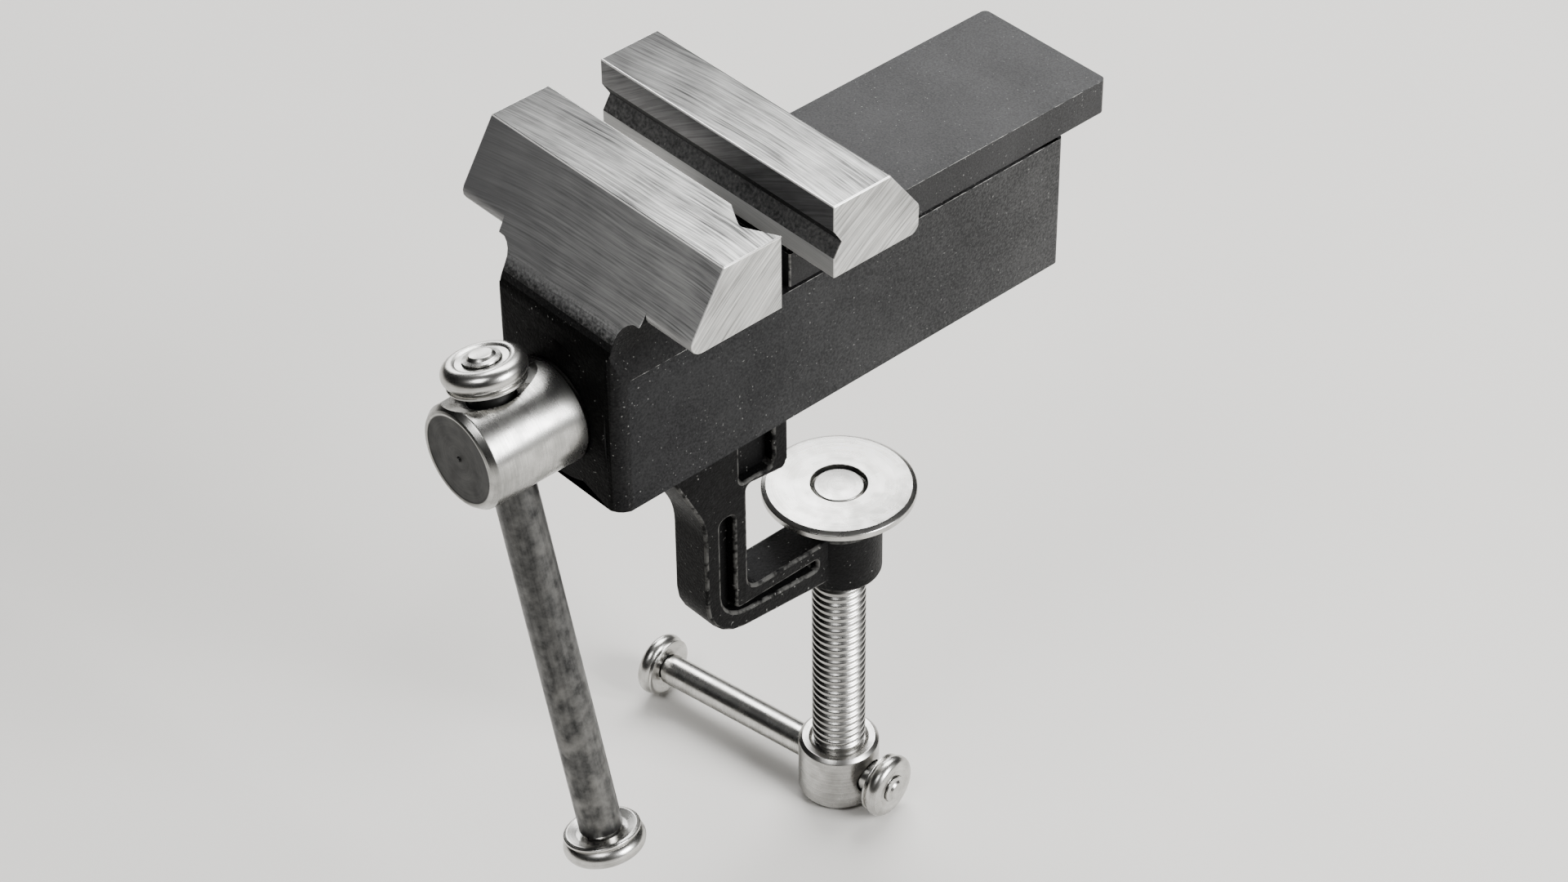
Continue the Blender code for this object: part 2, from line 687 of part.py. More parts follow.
def make_spindle_nut():
    """The flanged nut in the keel's bore, and the cross pin that stops it turning."""
    bore = SPINDLE_RADIUS + GAP
    flange_rear = KEEL_REAR + GAP + NUT_FLANGE
    nut_front = flange_rear - PLATE_FRONT - GAP
    profile = [
        (bore, nut_front),
        (NUT_RADIUS, nut_front),
        (NUT_RADIUS, NUT_FLANGE),
        (NUT_FLANGE_RADIUS, NUT_FLANGE),
        (NUT_FLANGE_RADIUS, 0),
        (bore, 0),
    ]
    nut = turned("spindle_nut", profile, (0, flange_rear, SPINDLE_HEIGHT), (0, -1, 0), ring=True)
    piece(nut, (0.60, 0.42, 0.20), 0.35, 1.0)
    cut(nut, pin_hole("nut_pin_groove", nut_pin_place(), (1, 0, 0), 4 * NUT_RADIUS))
    length = CHANNEL_WIDTH - 4 * GAP
    start = Vector(nut_pin_place()) - Vector((length / 2, 0, 0))
    piece(rod("nut_pin", start, (1, 0, 0), length, PIN_RADIUS), (0.45, 0.45, 0.46), 0.3, 1.0)


# The two handles


def knob_profile(radius, thickness, bore):
    """A turned knob: a full round rim on its inner side, then a step down to its outer face."""
    half_rim = thickness * KNOB_RIM / 2
    step = radius * KNOB_STEP
    points = [(bore, thickness), (step - half_rim / 2, thickness), (step, thickness - half_rim / 2)]
    points.append((step, 2 * half_rim))
    for turn in range(1, RIM_STEPS):
        angle = math.pi * (0.5 - turn / RIM_STEPS)
        points.append((radius - half_rim * (1 - math.cos(angle)), half_rim * (1 + math.sin(angle))))
    points += [(radius - half_rim, 0), (bore, 0)]
    return points


def handle(name, middle, axis, upper, lower, radius, knob_radius, knob_thickness, knob_names):
    """A plain bar through a cross hole, with a knob riveted on each end.

    upper and lower are the distances from the cross hole to the knobs' inner faces.
    """
    place = Vector(middle)
    shank = radius * SHANK
    rivet = radius * RIVET_HEAD
    crown = rivet * SHANK
    outer = knob_thickness + GAP
    end = outer + RIVET_HEIGHT
    profile = [
        (0, upper + end),
        (crown, upper + end),
        (rivet, upper + outer),
        (shank, upper + outer),
        (shank, upper - GAP),
        (radius, upper - GAP),
        (radius, GAP - lower),
        (shank, GAP - lower),
        (shank, -lower - outer),
        (rivet, -lower - outer),
        (crown, -lower - end),
        (0, -lower - end),
    ]
    bar = turned(name, profile, place, axis, SMALL_ROUND_STEPS)
    piece(bar, (0.16, 0.16, 0.16), 0.45, 1.0)
    bore = shank + GAP
    for knob_name, side, start in ((knob_names[0], 1, upper), (knob_names[1], -1, lower)):
        outward = Vector(axis) * side
        knob = turned(
            knob_name, knob_profile(knob_radius, knob_thickness, bore), place + outward * start, outward,
            SMALL_ROUND_STEPS, ring=True,
        )
        piece(knob, (0.58, 0.58, 0.58), 0.22, 1.0)


def make_handles():
    upper = HEAD_RADIUS + GAP
    handle(
        "tommy_bar", (0, BAR_PLACE, SPINDLE_HEIGHT), BAR_AXIS, upper, BAR_GRIP - upper,
        BAR_RADIUS, KNOB_RADIUS, KNOB_THICKNESS, ("upper_knob", "lower_knob"),
    )
    near = CLAMP_HEAD_RADIUS + CLAMP_BAR_STAND_OFF + GAP
    handle(
        "clamp_bar", clamp_bar_place(), CLAMP_BAR_AXIS, near, CLAMP_BAR_GRIP - near,
        CLAMP_BAR_RADIUS, CLAMP_KNOB_RADIUS, CLAMP_KNOB_THICKNESS, ("clamp_near_knob", "clamp_far_knob"),
    )


# The clamp screw and its pad


def clamp_bar_place():
    return (0, 0, -CLAMP_SCREW_REACH - CLAMP_HEAD_HEIGHT / 2)


def make_clamp_screw():
    head_top = -CLAMP_SCREW_REACH
    foot = head_top - CLAMP_HEAD_HEIGHT
    shoulder = PAD_TOP - PAD_THICKNESS - PAD_HUB_HEIGHT - GAP
    sink = PAD_SINK_RADIUS - 2 * GAP
    profile = [
        (0, PAD_TOP - GAP),
        (sink, PAD_TOP - GAP),
        (sink, PAD_TOP - PAD_SINK_DEPTH),
        (SPIGOT_RADIUS, PAD_TOP - RIVET_DEPTH),
        (SPIGOT_RADIUS, shoulder),
        (CLAMP_SCREW_RADIUS - SPINDLE_END_CHAMFER, shoulder),
        (CLAMP_SCREW_RADIUS, shoulder - SPINDLE_END_CHAMFER),
        (CLAMP_SCREW_RADIUS, head_top),
        (CLAMP_HEAD_RADIUS - CLAMP_HEAD_EDGE, head_top),
        (CLAMP_HEAD_RADIUS, head_top - CLAMP_HEAD_EDGE),
        (CLAMP_HEAD_RADIUS, foot + CLAMP_HEAD_EDGE),
        (CLAMP_HEAD_RADIUS - CLAMP_HEAD_EDGE, foot),
        (0, foot),
    ]
    screw = turned("clamp_screw", profile, (0, 0, 0), (0, 0, 1))
    piece(screw, (0.56, 0.56, 0.55), 0.25, 1.0)
    start = Vector(clamp_bar_place()) - CLAMP_BAR_AXIS * 2 * CLAMP_HEAD_RADIUS
    hole = CLAMP_BAR_RADIUS + GAP
    cut(screw, rod("clamp_bar_hole", start, CLAMP_BAR_AXIS, 4 * CLAMP_HEAD_RADIUS, hole))


def make_pressure_pad():
    bore = SPIGOT_RADIUS + GAP
    under = PAD_TOP - PAD_THICKNESS
    profile = [
        (PAD_SINK_RADIUS, PAD_TOP),
        (PAD_RADIUS - PAD_EDGE, PAD_TOP),
        (PAD_RADIUS, PAD_TOP - PAD_EDGE),
        (PAD_RADIUS, under + PAD_EDGE),
        (PAD_RADIUS - PAD_EDGE, under),
        (PAD_HUB_RADIUS, under),
        (PAD_HUB_RADIUS, under - PAD_HUB_HEIGHT),
        (bore, under - PAD_HUB_HEIGHT),
        (bore, PAD_TOP - RIVET_DEPTH - GAP),
        (PAD_SINK_RADIUS, PAD_TOP - PAD_SINK_DEPTH - GAP),
    ]
    pad = turned("pressure_pad", profile, (0, 0, 0), (0, 0, 1), ring=True)
    piece(pad, (0.62, 0.62, 0.62), 0.2, 1.0)


make_body()
make_moving_jaw()
make_spindle()
make_thrust_parts()
make_spindle_nut()
make_handles()
make_clamp_screw()
make_pressure_pad()
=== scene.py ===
import math

import bmesh
import bpy
from mathutils import Matrix, Vector


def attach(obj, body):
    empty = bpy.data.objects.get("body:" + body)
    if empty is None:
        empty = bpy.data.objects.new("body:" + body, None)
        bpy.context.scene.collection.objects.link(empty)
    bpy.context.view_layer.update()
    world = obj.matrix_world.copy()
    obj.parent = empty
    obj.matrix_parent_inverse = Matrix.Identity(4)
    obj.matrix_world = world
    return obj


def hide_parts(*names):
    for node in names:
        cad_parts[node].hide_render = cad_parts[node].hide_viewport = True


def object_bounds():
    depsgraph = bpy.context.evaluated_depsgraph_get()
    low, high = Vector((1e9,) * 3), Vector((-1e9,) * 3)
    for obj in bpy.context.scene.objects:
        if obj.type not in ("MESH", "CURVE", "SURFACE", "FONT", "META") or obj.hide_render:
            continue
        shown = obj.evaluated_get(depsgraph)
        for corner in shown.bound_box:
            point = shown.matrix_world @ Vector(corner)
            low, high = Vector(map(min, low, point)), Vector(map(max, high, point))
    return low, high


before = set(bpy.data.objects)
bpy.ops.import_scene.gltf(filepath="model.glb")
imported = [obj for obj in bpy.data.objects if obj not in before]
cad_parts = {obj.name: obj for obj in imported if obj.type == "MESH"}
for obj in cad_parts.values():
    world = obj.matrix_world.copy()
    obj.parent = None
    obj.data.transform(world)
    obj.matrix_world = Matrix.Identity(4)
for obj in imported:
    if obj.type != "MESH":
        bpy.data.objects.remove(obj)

CAD_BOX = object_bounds()
MM = 0.001

# Sizes that the vise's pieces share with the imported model
JAW_TOP = 41.3 * MM
JAW_UNDERSIDE = 30.1 * MM
JAW_FACE = -30.7 * MM
JAW_THICKNESS = 9.5 * MM
BODY_FRONT = -49.8 * MM
FLANK_SLOPE = Vector((0, -0.62, -1)).normalized()
GRIP_FOOT = 37.4 * MM
STRIP_TOP = 33.2 * MM
SPINDLE_HEIGHT = 11.7 * MM
HEAD_FRONT = -66.2 * MM
HEAD_BACK = -50.6 * MM
SHANK_BACK = -39.8 * MM
SPINDLE_END = 26.3 * MM
CLAMP_HEAD_TOP = -80.6 * MM
BAR_TILT = math.radians(15.5)
CLAMP_BAR_TURN = math.radians(9.6)
BAR_AXIS = Vector((-math.sin(BAR_TILT), 0, math.cos(BAR_TILT)))
CLAMP_BAR_AXIS = Vector((math.cos(CLAMP_BAR_TURN), math.sin(CLAMP_BAR_TURN), 0))
BAR_MIDDLE = Vector((0, -59.0 * MM, SPINDLE_HEIGHT))
CLAMP_BAR_MIDDLE = Vector((0, 0, -85.1 * MM))
RIGHT = Vector((1, 0, 0))
UP = Vector((0, 0, 1))
TO_THE_HEAD = Vector((0, -1, 0))
GAP = 0.3 * MM


# Small tools


def linear(hex_colour):
    """An sRGB hex colour as the linear colour that a shader takes."""
    parts = [int(hex_colour[at : at + 2], 16) / 255 for at in (1, 3, 5)]
    return [p / 12.92 if p <= 0.04045 else ((p + 0.055) / 1.055) ** 2.4 for p in parts] + [1]


def add(tree, kind, sockets=None, out=0, **settings):
    """Adds a node with its settings and links, and gives back one of its outputs.

    sockets holds numbers, vectors, hex colours and other nodes' outputs, by the input's name or number.
    """
    node = tree.nodes.new(kind)
    for name, value in settings.items():
        setattr(node, name, value)
    for name, value in (sockets or {}).items():
        if isinstance(value, bpy.types.NodeSocket):
            tree.links.new(value, node.inputs[name])
        else:
            node.inputs[name].default_value = linear(value) if isinstance(value, str) else value
    return node.outputs[out] if len(node.outputs) else None


def new_material(name):
    """An empty material and its node tree."""
    material = bpy.data.materials.new(name)
    material.use_nodes = True
    material.node_tree.nodes.clear()
    return material, material.node_tree


# Materials

STROKE_CURVE = 2.85  # how much grinding strokes bend, per metre of their length
PAINTED_SHADE_FRONT, PAINTED_LIGHT_REAR = -48 * MM, 25 * MM  # where black iron is painted darkest as shade and greyest as light, along Y
PAINTED_SHADE_LEFT_END, SHADE_FREE_RIGHT_END = -24 * MM, 20 * MM  # where ground iron's painted shade is deepest and where it ends, along X
HELD_FROM, HELD_TO = -34 * MM, -14 * MM  # where a hand rubs the tommy bar, in height
SHADED_FACE_RADIUS, SHADED_FACE_DEPTH = 6.2 * MM, 0.5 * MM  # where the end face of the spindle's head is painted darker, as shade


def blackened_iron(name, dark, light, grain, depth, worn, shine=0.30):
    """Cast iron, sand-cast and blackened: a dull black skin with a fine sandy grain, a few bright
    specks where the grain's tips are rubbed through, and bare grey metal in broken lines along the
    edges that hands and work rub. It is painted darker as shade, with less sheen, towards the front
    near the spindle's head, and painted greyer as light towards the rear. The grain is drawn a little
    coarser than real sand."""
    material, tree = new_material(name)
    where = add(tree, "ShaderNodeTexCoord", out="Object")
    sand = add(tree, "ShaderNodeTexNoise", {"Vector": where, "Scale": 1 / grain, "Detail": 2.0})
    patches = add(tree, "ShaderNodeTexNoise", {"Vector": where, "Scale": 1 / (8 * MM), "Detail": 4.0})
    swells = add(tree, "ShaderNodeTexNoise", {"Vector": where, "Scale": 1 / (3.5 * MM), "Detail": 1.0})
    rub = add(tree, "ShaderNodeTexNoise", {"Vector": where, "Scale": 1 / (1.3 * MM), "Detail": 5.0})
    tips = add(tree, "ShaderNodeTexNoise", {"Vector": where, "Scale": 0.9 / grain, "Detail": 0.0})
    tone = add(tree, "ShaderNodeMix", {0: 0.3, 2: sand, 3: patches})
    back = add(tree, "ShaderNodeSeparateXYZ", {0: where}, out="Y")
    # painted shade at the front and painted light towards the rear, along Y; it also lowers the sheen at the
    # front
    painted_light_share = add(tree, "ShaderNodeMapRange", {"Value": back, 1: PAINTED_SHADE_FRONT, 2: PAINTED_LIGHT_REAR, 3: 0.28, 4: 1.0})
    share = add(tree, "ShaderNodeMapRange", {"Value": tone, 1: 0.36, 2: 0.66, 4: painted_light_share})
    skin = add(tree, "ShaderNodeMix", {0: share, 6: dark, 7: light}, out=2, data_type="RGBA")
    specks = add(tree, "ShaderNodeMapRange", {"Value": tips, 1: 0.79, 2: 0.86, 4: 0.45})
    specked = add(tree, "ShaderNodeMix", {0: specks, 6: skin, 7: "#8f8f8c"}, out=2, data_type="RGBA")
    edge = add(tree, "ShaderNodeAttribute", out="Fac", attribute_name="worn")
    broken = add(tree, "ShaderNodeMapRange", {"Value": rub, 1: 0.40, 2: 0.58, 4: worn})
    wear = add(tree, "ShaderNodeMath", {0: edge, 1: broken}, operation="MULTIPLY")
    colour = add(tree, "ShaderNodeMix", {0: wear, 6: specked, 7: "#b4b3af"}, out=2, data_type="RGBA")
    height = add(tree, "ShaderNodeMath", {0: swells, 1: 1.2, 2: sand}, operation="MULTIPLY_ADD")
    shader = add(tree, "ShaderNodeBsdfPrincipled", {
        "Base Color": colour,
        "Metallic": wear,
        "Roughness": add(tree, "ShaderNodeMapRange", {"Value": tone, 1: 0.3, 2: 0.7, 3: 0.62, 4: 0.46}),
        "Specular IOR Level": add(tree, "ShaderNodeMath", {0: painted_light_share, 1: shine}, operation="MULTIPLY"),
        "Normal": add(tree, "ShaderNodeBump", {"Height": height, "Distance": depth}),
    })
    add(tree, "ShaderNodeOutputMaterial", {"Surface": shader})
    return material


def ground_iron(name, frame_of_strokes, dark, light, rough, metallic, painted_shade_left=False, foot=None):
    """Cast iron, ground or filed by hand: long scratches one way, slightly curved as from a wheel, with
    a few deep ones between them. Its rubbed edges are bright. The scratches are drawn coarser than
    real ones, which would be too fine to show.

    frame_of_strokes is the scratches' direction and the one across them, on the face. With the
    left-end flag set, the piece's left end is painted darker, as shade where its highlight falls off.
    Where a foot height is given, the grinding ends in a ragged edge there, with black skin below.
    """
    material, tree = new_material(name)
    where = add(tree, "ShaderNodeTexCoord", out="Object")
    along, across = frame_of_strokes
    turn = Matrix((along, across, along.cross(across))).transposed().to_euler()
    drift = add(tree, "ShaderNodeTexNoise", {"Vector": where, "Scale": 1 / (25 * MM), "Detail": 1.0})
    reach = add(tree, "ShaderNodeVectorMath", {0: where, 1: along}, out="Value", operation="DOT_PRODUCT")
    curl = add(tree, "ShaderNodeMath", {0: reach, 1: reach}, operation="MULTIPLY")
    sway = add(tree, "ShaderNodeMath", {0: drift, 1: 2.0 * MM}, operation="MULTIPLY")
    shift = add(tree, "ShaderNodeMath", {0: curl, 1: STROKE_CURVE, 2: sway}, operation="MULTIPLY_ADD")
    bent = add(tree, "ShaderNodeVectorMath", {0: shift, 1: across, 2: where}, operation="MULTIPLY_ADD")
    lines = []
    for long, fine in ((11 * MM, 0.26 * MM), (24 * MM, 0.8 * MM), (5 * MM, 0.20 * MM)):
        spot = add(
            tree, "ShaderNodeMapping", {"Vector": bent, "Rotation": turn, "Scale": (long, fine, fine)},
            vector_type="TEXTURE",
        )
        lines.append(add(tree, "ShaderNodeTexNoise", {"Vector": spot, "Scale": 1.0, "Detail": 3.0}))
    strokes = add(tree, "ShaderNodeCombineXYZ", {0: lines[0], 1: lines[1], 2: lines[2]})
    mixed = add(
        tree, "ShaderNodeVectorMath", {0: strokes, 1: (0.45, 0.2, 0.35)}, out="Value", operation="DOT_PRODUCT"
    )
    clouds = add(tree, "ShaderNodeTexNoise", {"Vector": where, "Scale": 1 / (6 * MM), "Detail": 3.0})
    tone = add(tree, "ShaderNodeMix", {0: 0.22, 2: mixed, 3: clouds})
    full = 1.0
    # painted shade: the left end darker, standing for the highlight falling off towards it
    if painted_shade_left:
        side = add(tree, "ShaderNodeSeparateXYZ", {0: where}, out="X")
        full = add(tree, "ShaderNodeMapRange", {"Value": side, 1: PAINTED_SHADE_LEFT_END, 2: SHADE_FREE_RIGHT_END, 3: 0.15, 4: 1.0})
    share = add(tree, "ShaderNodeMapRange", {"Value": tone, 1: 0.37, 2: 0.63, 4: full})
    ground = add(tree, "ShaderNodeMix", {0: share, 6: dark, 7: light}, out=2, data_type="RGBA")
    edge = add(tree, "ShaderNodeAttribute", out="Fac", attribute_name="worn")
    rubbed = add(tree, "ShaderNodeMath", {0: edge, 1: 0.9}, operation="MULTIPLY")
    colour = add(tree, "ShaderNodeMix", {0: rubbed, 6: ground, 7: "#f4f3f0"}, out=2, data_type="RGBA")
    gloss = add(tree, "ShaderNodeMapRange", {"Value": tone, 1: 0.3, 2: 0.7, 3: rough + 0.10, 4: rough - 0.08})
    if foot:
        height = add(tree, "ShaderNodeSeparateXYZ", {0: where}, out="Z")
        pits = add(tree, "ShaderNodeTexNoise", {"Vector": where, "Scale": 1 / (0.4 * MM), "Detail": 4.0})
        ragged = add(tree, "ShaderNodeMath", {0: pits, 1: 4.0 * MM, 2: height}, operation="MULTIPLY_ADD")
        skin = add(
            tree, "ShaderNodeMapRange",
            {"Value": ragged, 1: foot + 1.2 * MM, 2: foot + 3.2 * MM, 3: 1.0, 4: 0.0},
        )
        colour = add(tree, "ShaderNodeMix", {0: skin, 6: colour, 7: "#0e0e0f"}, out=2, data_type="RGBA")
        metallic = add(tree, "ShaderNodeMapRange", {"Value": skin, 3: metallic, 4: 0.0})
    shader = add(tree, "ShaderNodeBsdfPrincipled", {
        "Base Color": colour,
        "Metallic": metallic,
        "Roughness": gloss,
        "Normal": add(tree, "ShaderNodeBump", {"Height": tone, "Distance": 0.03 * MM}),
    })
    add(tree, "ShaderNodeOutputMaterial", {"Surface": shader})
    return material


def turned_steel(name, dark, light, rough):
    """Steel, turned on a lathe and smoothed: a satin shine with hair-fine rings round its axis and
    faint clouds from handling. The end face of the spindle's head is painted darker, as shade, and is duller."""
    material, tree = new_material(name)
    turning = add(tree, "ShaderNodeUVMap", uv_map="turning")
    round_it = add(
        tree, "ShaderNodeVectorMath", {0: turning, 1: (30 * MM, 0.25 * MM, 1)}, operation="DIVIDE"
    )
    rings = add(tree, "ShaderNodeTexNoise", {"Vector": round_it, "Scale": 1.0, "Detail": 2.0})
    where = add(tree, "ShaderNodeTexCoord", out="Object")
    clouds = add(tree, "ShaderNodeTexNoise", {"Vector": where, "Scale": 1 / (2.2 * MM), "Detail": 5.0})
    tone = add(tree, "ShaderNodeMix", {0: 0.35, 2: clouds, 3: rings})
    share = add(tree, "ShaderNodeMapRange", {"Value": tone, 1: 0.36, 2: 0.64})
    bright = add(tree, "ShaderNodeMix", {0: share, 6: dark, 7: light}, out=2, data_type="RGBA")
    # painted shade on the end face of the spindle's head
    dull = add(tree, "ShaderNodeMix", {0: share, 6: "#1e1e1e", 7: "#343433"}, out=2, data_type="RGBA")
    back = add(tree, "ShaderNodeSeparateXYZ", {0: where}, out="Y")
    depth = add(tree, "ShaderNodeMath", {0: back, 1: HEAD_FRONT}, operation="SUBTRACT")
    spread = add(tree, "ShaderNodeVectorMath", {0: where, 1: (1, 0, 1)}, operation="MULTIPLY")
    centre = (0, 0, SPINDLE_HEIGHT)
    radius = add(
        tree, "ShaderNodeVectorMath", {0: spread, 1: centre}, out="Value", operation="DISTANCE"
    )
    front = add(
        tree, "ShaderNodeMapRange",
        {"Value": depth, 1: SHADED_FACE_DEPTH, 2: SHADED_FACE_DEPTH + 0.2 * MM, 3: 1.0, 4: 0.0},
    )
    face = add(
        tree, "ShaderNodeMapRange",
        {"Value": radius, 1: SHADED_FACE_RADIUS, 2: SHADED_FACE_RADIUS + 0.15 * MM, 3: front, 4: 0.0},
    )
    gloss = add(tree, "ShaderNodeMapRange", {"Value": tone, 1: 0.3, 2: 0.7, 3: rough + 0.06, 4: rough - 0.05})
    shader = add(tree, "ShaderNodeBsdfPrincipled", {
        "Base Color": add(tree, "ShaderNodeMix", {0: face, 6: bright, 7: dull}, out=2, data_type="RGBA"),
        "Metallic": 1.0,
        "Roughness": add(tree, "ShaderNodeMath", {0: face, 1: 0.14, 2: gloss}, operation="MULTIPLY_ADD"),
        "Normal": add(tree, "ShaderNodeBump", {"Height": rings, "Distance": 0.002 * MM}),
    })
    add(tree, "ShaderNodeOutputMaterial", {"Surface": shader})
    return material


def drawn_steel(name):
    """Steel bar, cold drawn and dulled by use: faint long streaks under a mottled dark oxide, rubbed
    lighter in soft patches towards its lower end, where a hand holds it."""
    material, tree = new_material(name)
    turning = add(tree, "ShaderNodeUVMap", uv_map="turning")
    lengthwise = add(
        tree, "ShaderNodeVectorMath", {0: turning, 1: (0.7 * MM, 14 * MM, 1)}, operation="DIVIDE"
    )
    streaks = add(tree, "ShaderNodeTexNoise", {"Vector": lengthwise, "Scale": 1.0, "Detail": 3.0})
    where = add(tree, "ShaderNodeTexCoord", out="Object")
    oxide = add(
        tree, "ShaderNodeTexNoise",
        {"Vector": where, "Scale": 1 / (1.5 * MM), "Detail": 5.0, "Roughness": 0.65},
    )
    patches = add(tree, "ShaderNodeTexNoise", {"Vector": where, "Scale": 1 / (2.8 * MM), "Detail": 4.0})
    tone = add(tree, "ShaderNodeMix", {0: 0.35, 2: oxide, 3: streaks})
    share = add(tree, "ShaderNodeMapRange", {"Value": tone, 1: 0.34, 2: 0.66})
    skin = add(tree, "ShaderNodeMix", {0: share, 6: "#2c2c2c", 7: "#5c5c5b"}, out=2, data_type="RGBA")
    height = add(tree, "ShaderNodeSeparateXYZ", {0: where}, out="Z")
    held = add(tree, "ShaderNodeMapRange", {"Value": height, 1: HELD_FROM, 2: HELD_TO, 3: 0.55, 4: 0.15})
    rubbed = add(tree, "ShaderNodeMapRange", {"Value": patches, 1: 0.46, 2: 0.74})
    bare = add(tree, "ShaderNodeMath", {0: held, 1: rubbed}, operation="MULTIPLY")
    shader = add(tree, "ShaderNodeBsdfPrincipled", {
        "Base Color": add(tree, "ShaderNodeMix", {0: bare, 6: skin, 7: "#8f8e8b"}, out=2, data_type="RGBA"),
        "Metallic": 1.0,
        "Roughness": add(tree, "ShaderNodeMapRange", {"Value": tone, 1: 0.35, 2: 0.65, 3: 0.46, 4: 0.30}),
        "Normal": add(tree, "ShaderNodeBump", {"Height": tone, "Distance": 0.02 * MM}),
    })
    add(tree, "ShaderNodeOutputMaterial", {"Surface": shader})
    return material


def plated_steel(name, dark, light, rough):
    """Steel, turned, polished and nickel plated: bright and nearly mirror-like, with a slight cloud
    from handling and hair-fine turning rings left under the plating."""
    material, tree = new_material(name)
    turning = add(tree, "ShaderNodeUVMap", uv_map="turning")
    round_it = add(
        tree, "ShaderNodeVectorMath", {0: turning, 1: (40 * MM, 0.20 * MM, 1)}, operation="DIVIDE"
    )
    rings = add(tree, "ShaderNodeTexNoise", {"Vector": round_it, "Scale": 1.0, "Detail": 1.0})
    where = add(tree, "ShaderNodeTexCoord", out="Object")
    clouds = add(tree, "ShaderNodeTexNoise", {"Vector": where, "Scale": 1 / (2.6 * MM), "Detail": 5.0})
    tone = add(tree, "ShaderNodeMix", {0: 0.35, 2: clouds, 3: rings})
    share = add(tree, "ShaderNodeMapRange", {"Value": tone, 1: 0.34, 2: 0.66})
    shader = add(tree, "ShaderNodeBsdfPrincipled", {
        "Base Color": add(tree, "ShaderNodeMix", {0: share, 6: dark, 7: light}, out=2, data_type="RGBA"),
        "Metallic": 1.0,
        "Roughness": add(
            tree, "ShaderNodeMapRange", {"Value": clouds, 1: 0.35, 2: 0.65, 3: rough + 0.03, 4: rough - 0.03}
        ),
        "Normal": add(tree, "ShaderNodeBump", {"Height": rings, "Distance": 0.003 * MM}),
    })
    add(tree, "ShaderNodeOutputMaterial", {"Surface": shader})
    return material


def plain_metal(name, dark, light, rough):
    """A washer's, pin's or nut's metal as machined: small cloudy stains and fine grain under a dull
    shine."""
    material, tree = new_material(name)
    where = add(tree, "ShaderNodeTexCoord", out="Object")
    stains = add(
        tree, "ShaderNodeTexNoise",
        {"Vector": where, "Scale": 1 / (1.8 * MM), "Detail": 5.0, "Roughness": 0.65},
    )
    grain = add(tree, "ShaderNodeTexNoise", {"Vector": where, "Scale": 1 / (0.25 * MM), "Detail": 2.0})
    share = add(tree, "ShaderNodeMapRange", {"Value": stains, 1: 0.35, 2: 0.65})
    shader = add(tree, "ShaderNodeBsdfPrincipled", {
        "Base Color": add(tree, "ShaderNodeMix", {0: share, 6: dark, 7: light}, out=2, data_type="RGBA"),
        "Metallic": 1.0,
        "Roughness": add(tree, "ShaderNodeMapRange", {"Value": share, 3: rough + 0.1, 4: rough - 0.05}),
        "Normal": add(tree, "ShaderNodeBump", {"Height": grain, "Distance": 0.01 * MM}),
    })
    add(tree, "ShaderNodeOutputMaterial", {"Surface": shader})
    return material


# Meshes


def arc_corners(corners, steps=6):
    """The points of an open outline whose corners are (radius from the axis, height, rounding)."""
    points = []
    for index, (u, v, rounding) in enumerate(corners):
        corner = Vector((u, v))
        if rounding == 0:
            points.append(corner)
            continue
        back = (Vector(corners[index - 1][:2]) - corner).normalized()
        ahead = (Vector(corners[index + 1][:2]) - corner).normalized()
        half = back.angle(ahead) / 2
        start = corner + back * rounding / math.tan(half)
        end = corner + ahead * rounding / math.tan(half)
        centre = corner + (back + ahead).normalized() * rounding / math.sin(half)
        sweep = (end - centre).angle_signed(start - centre)
        for step in range(steps + 1):
            turn = Matrix.Rotation(sweep * step / steps, 2)
            points.append(centre + turn @ (start - centre))
    return points


def turned(name, corners, place, axis, steps=96, ring=False):
    """A turned mesh, in millimetres along its own axis, put in place in the vise.

    Its UV map, turning, runs round the axis and along the outline, in metres.
    """
    points = arc_corners(corners)
    build = bmesh.new()
    layer = build.loops.layers.uv.new("turning")
    travel = [0.0]
    for first, second in zip(points, points[1:]):
        travel.append(travel[-1] + (second - first).length)
    rows = []
    for step in range(steps):
        angle = 2 * math.pi * step / steps
        rows.append([
            build.verts.new((p.x * math.cos(angle), p.x * math.sin(angle), p.y)) for p in points
        ])
    pairs = [(at, at + 1) for at in range(len(points) - 1)]
    if ring:
        pairs.append((len(points) - 1, 0))
        travel.append(travel[-1])
    widest = max(p.x for p in points)
    for step in range(steps):
        here, there = rows[step], rows[(step + 1) % steps]
        for first, second in pairs:
            face = build.faces.new((here[first], here[second], there[second], there[first]))
            after = first + 1
            around = (step, step, step + 1, step + 1)
            along = (first, after, after, first)
            for loop, turn, at in zip(face.loops, around, along):
                loop[layer].uv = (
                    turn / steps * 2 * math.pi * widest * MM, travel[min(at, len(travel) - 1)] * MM
                )
    bmesh.ops.remove_doubles(build, verts=build.verts, dist=1e-4)
    bmesh.ops.dissolve_degenerate(build, edges=build.edges, dist=1e-5)
    bmesh.ops.recalc_face_normals(build, faces=build.faces)
    turn = axis.to_track_quat("Z", "Y").to_matrix().to_4x4()
    bmesh.ops.transform(
        build, matrix=Matrix.Translation(place) @ turn @ Matrix.Scale(MM, 4), verts=build.verts
    )
    mesh = bpy.data.meshes.new(name)
    build.to_mesh(mesh)
    build.free()
    return mesh


def joined(name, meshes):
    """Several meshes as one."""
    build = bmesh.new()
    for mesh in meshes:
        build.from_mesh(mesh)
    whole = bpy.data.meshes.new(name)
    build.to_mesh(whole)
    build.free()
    return whole


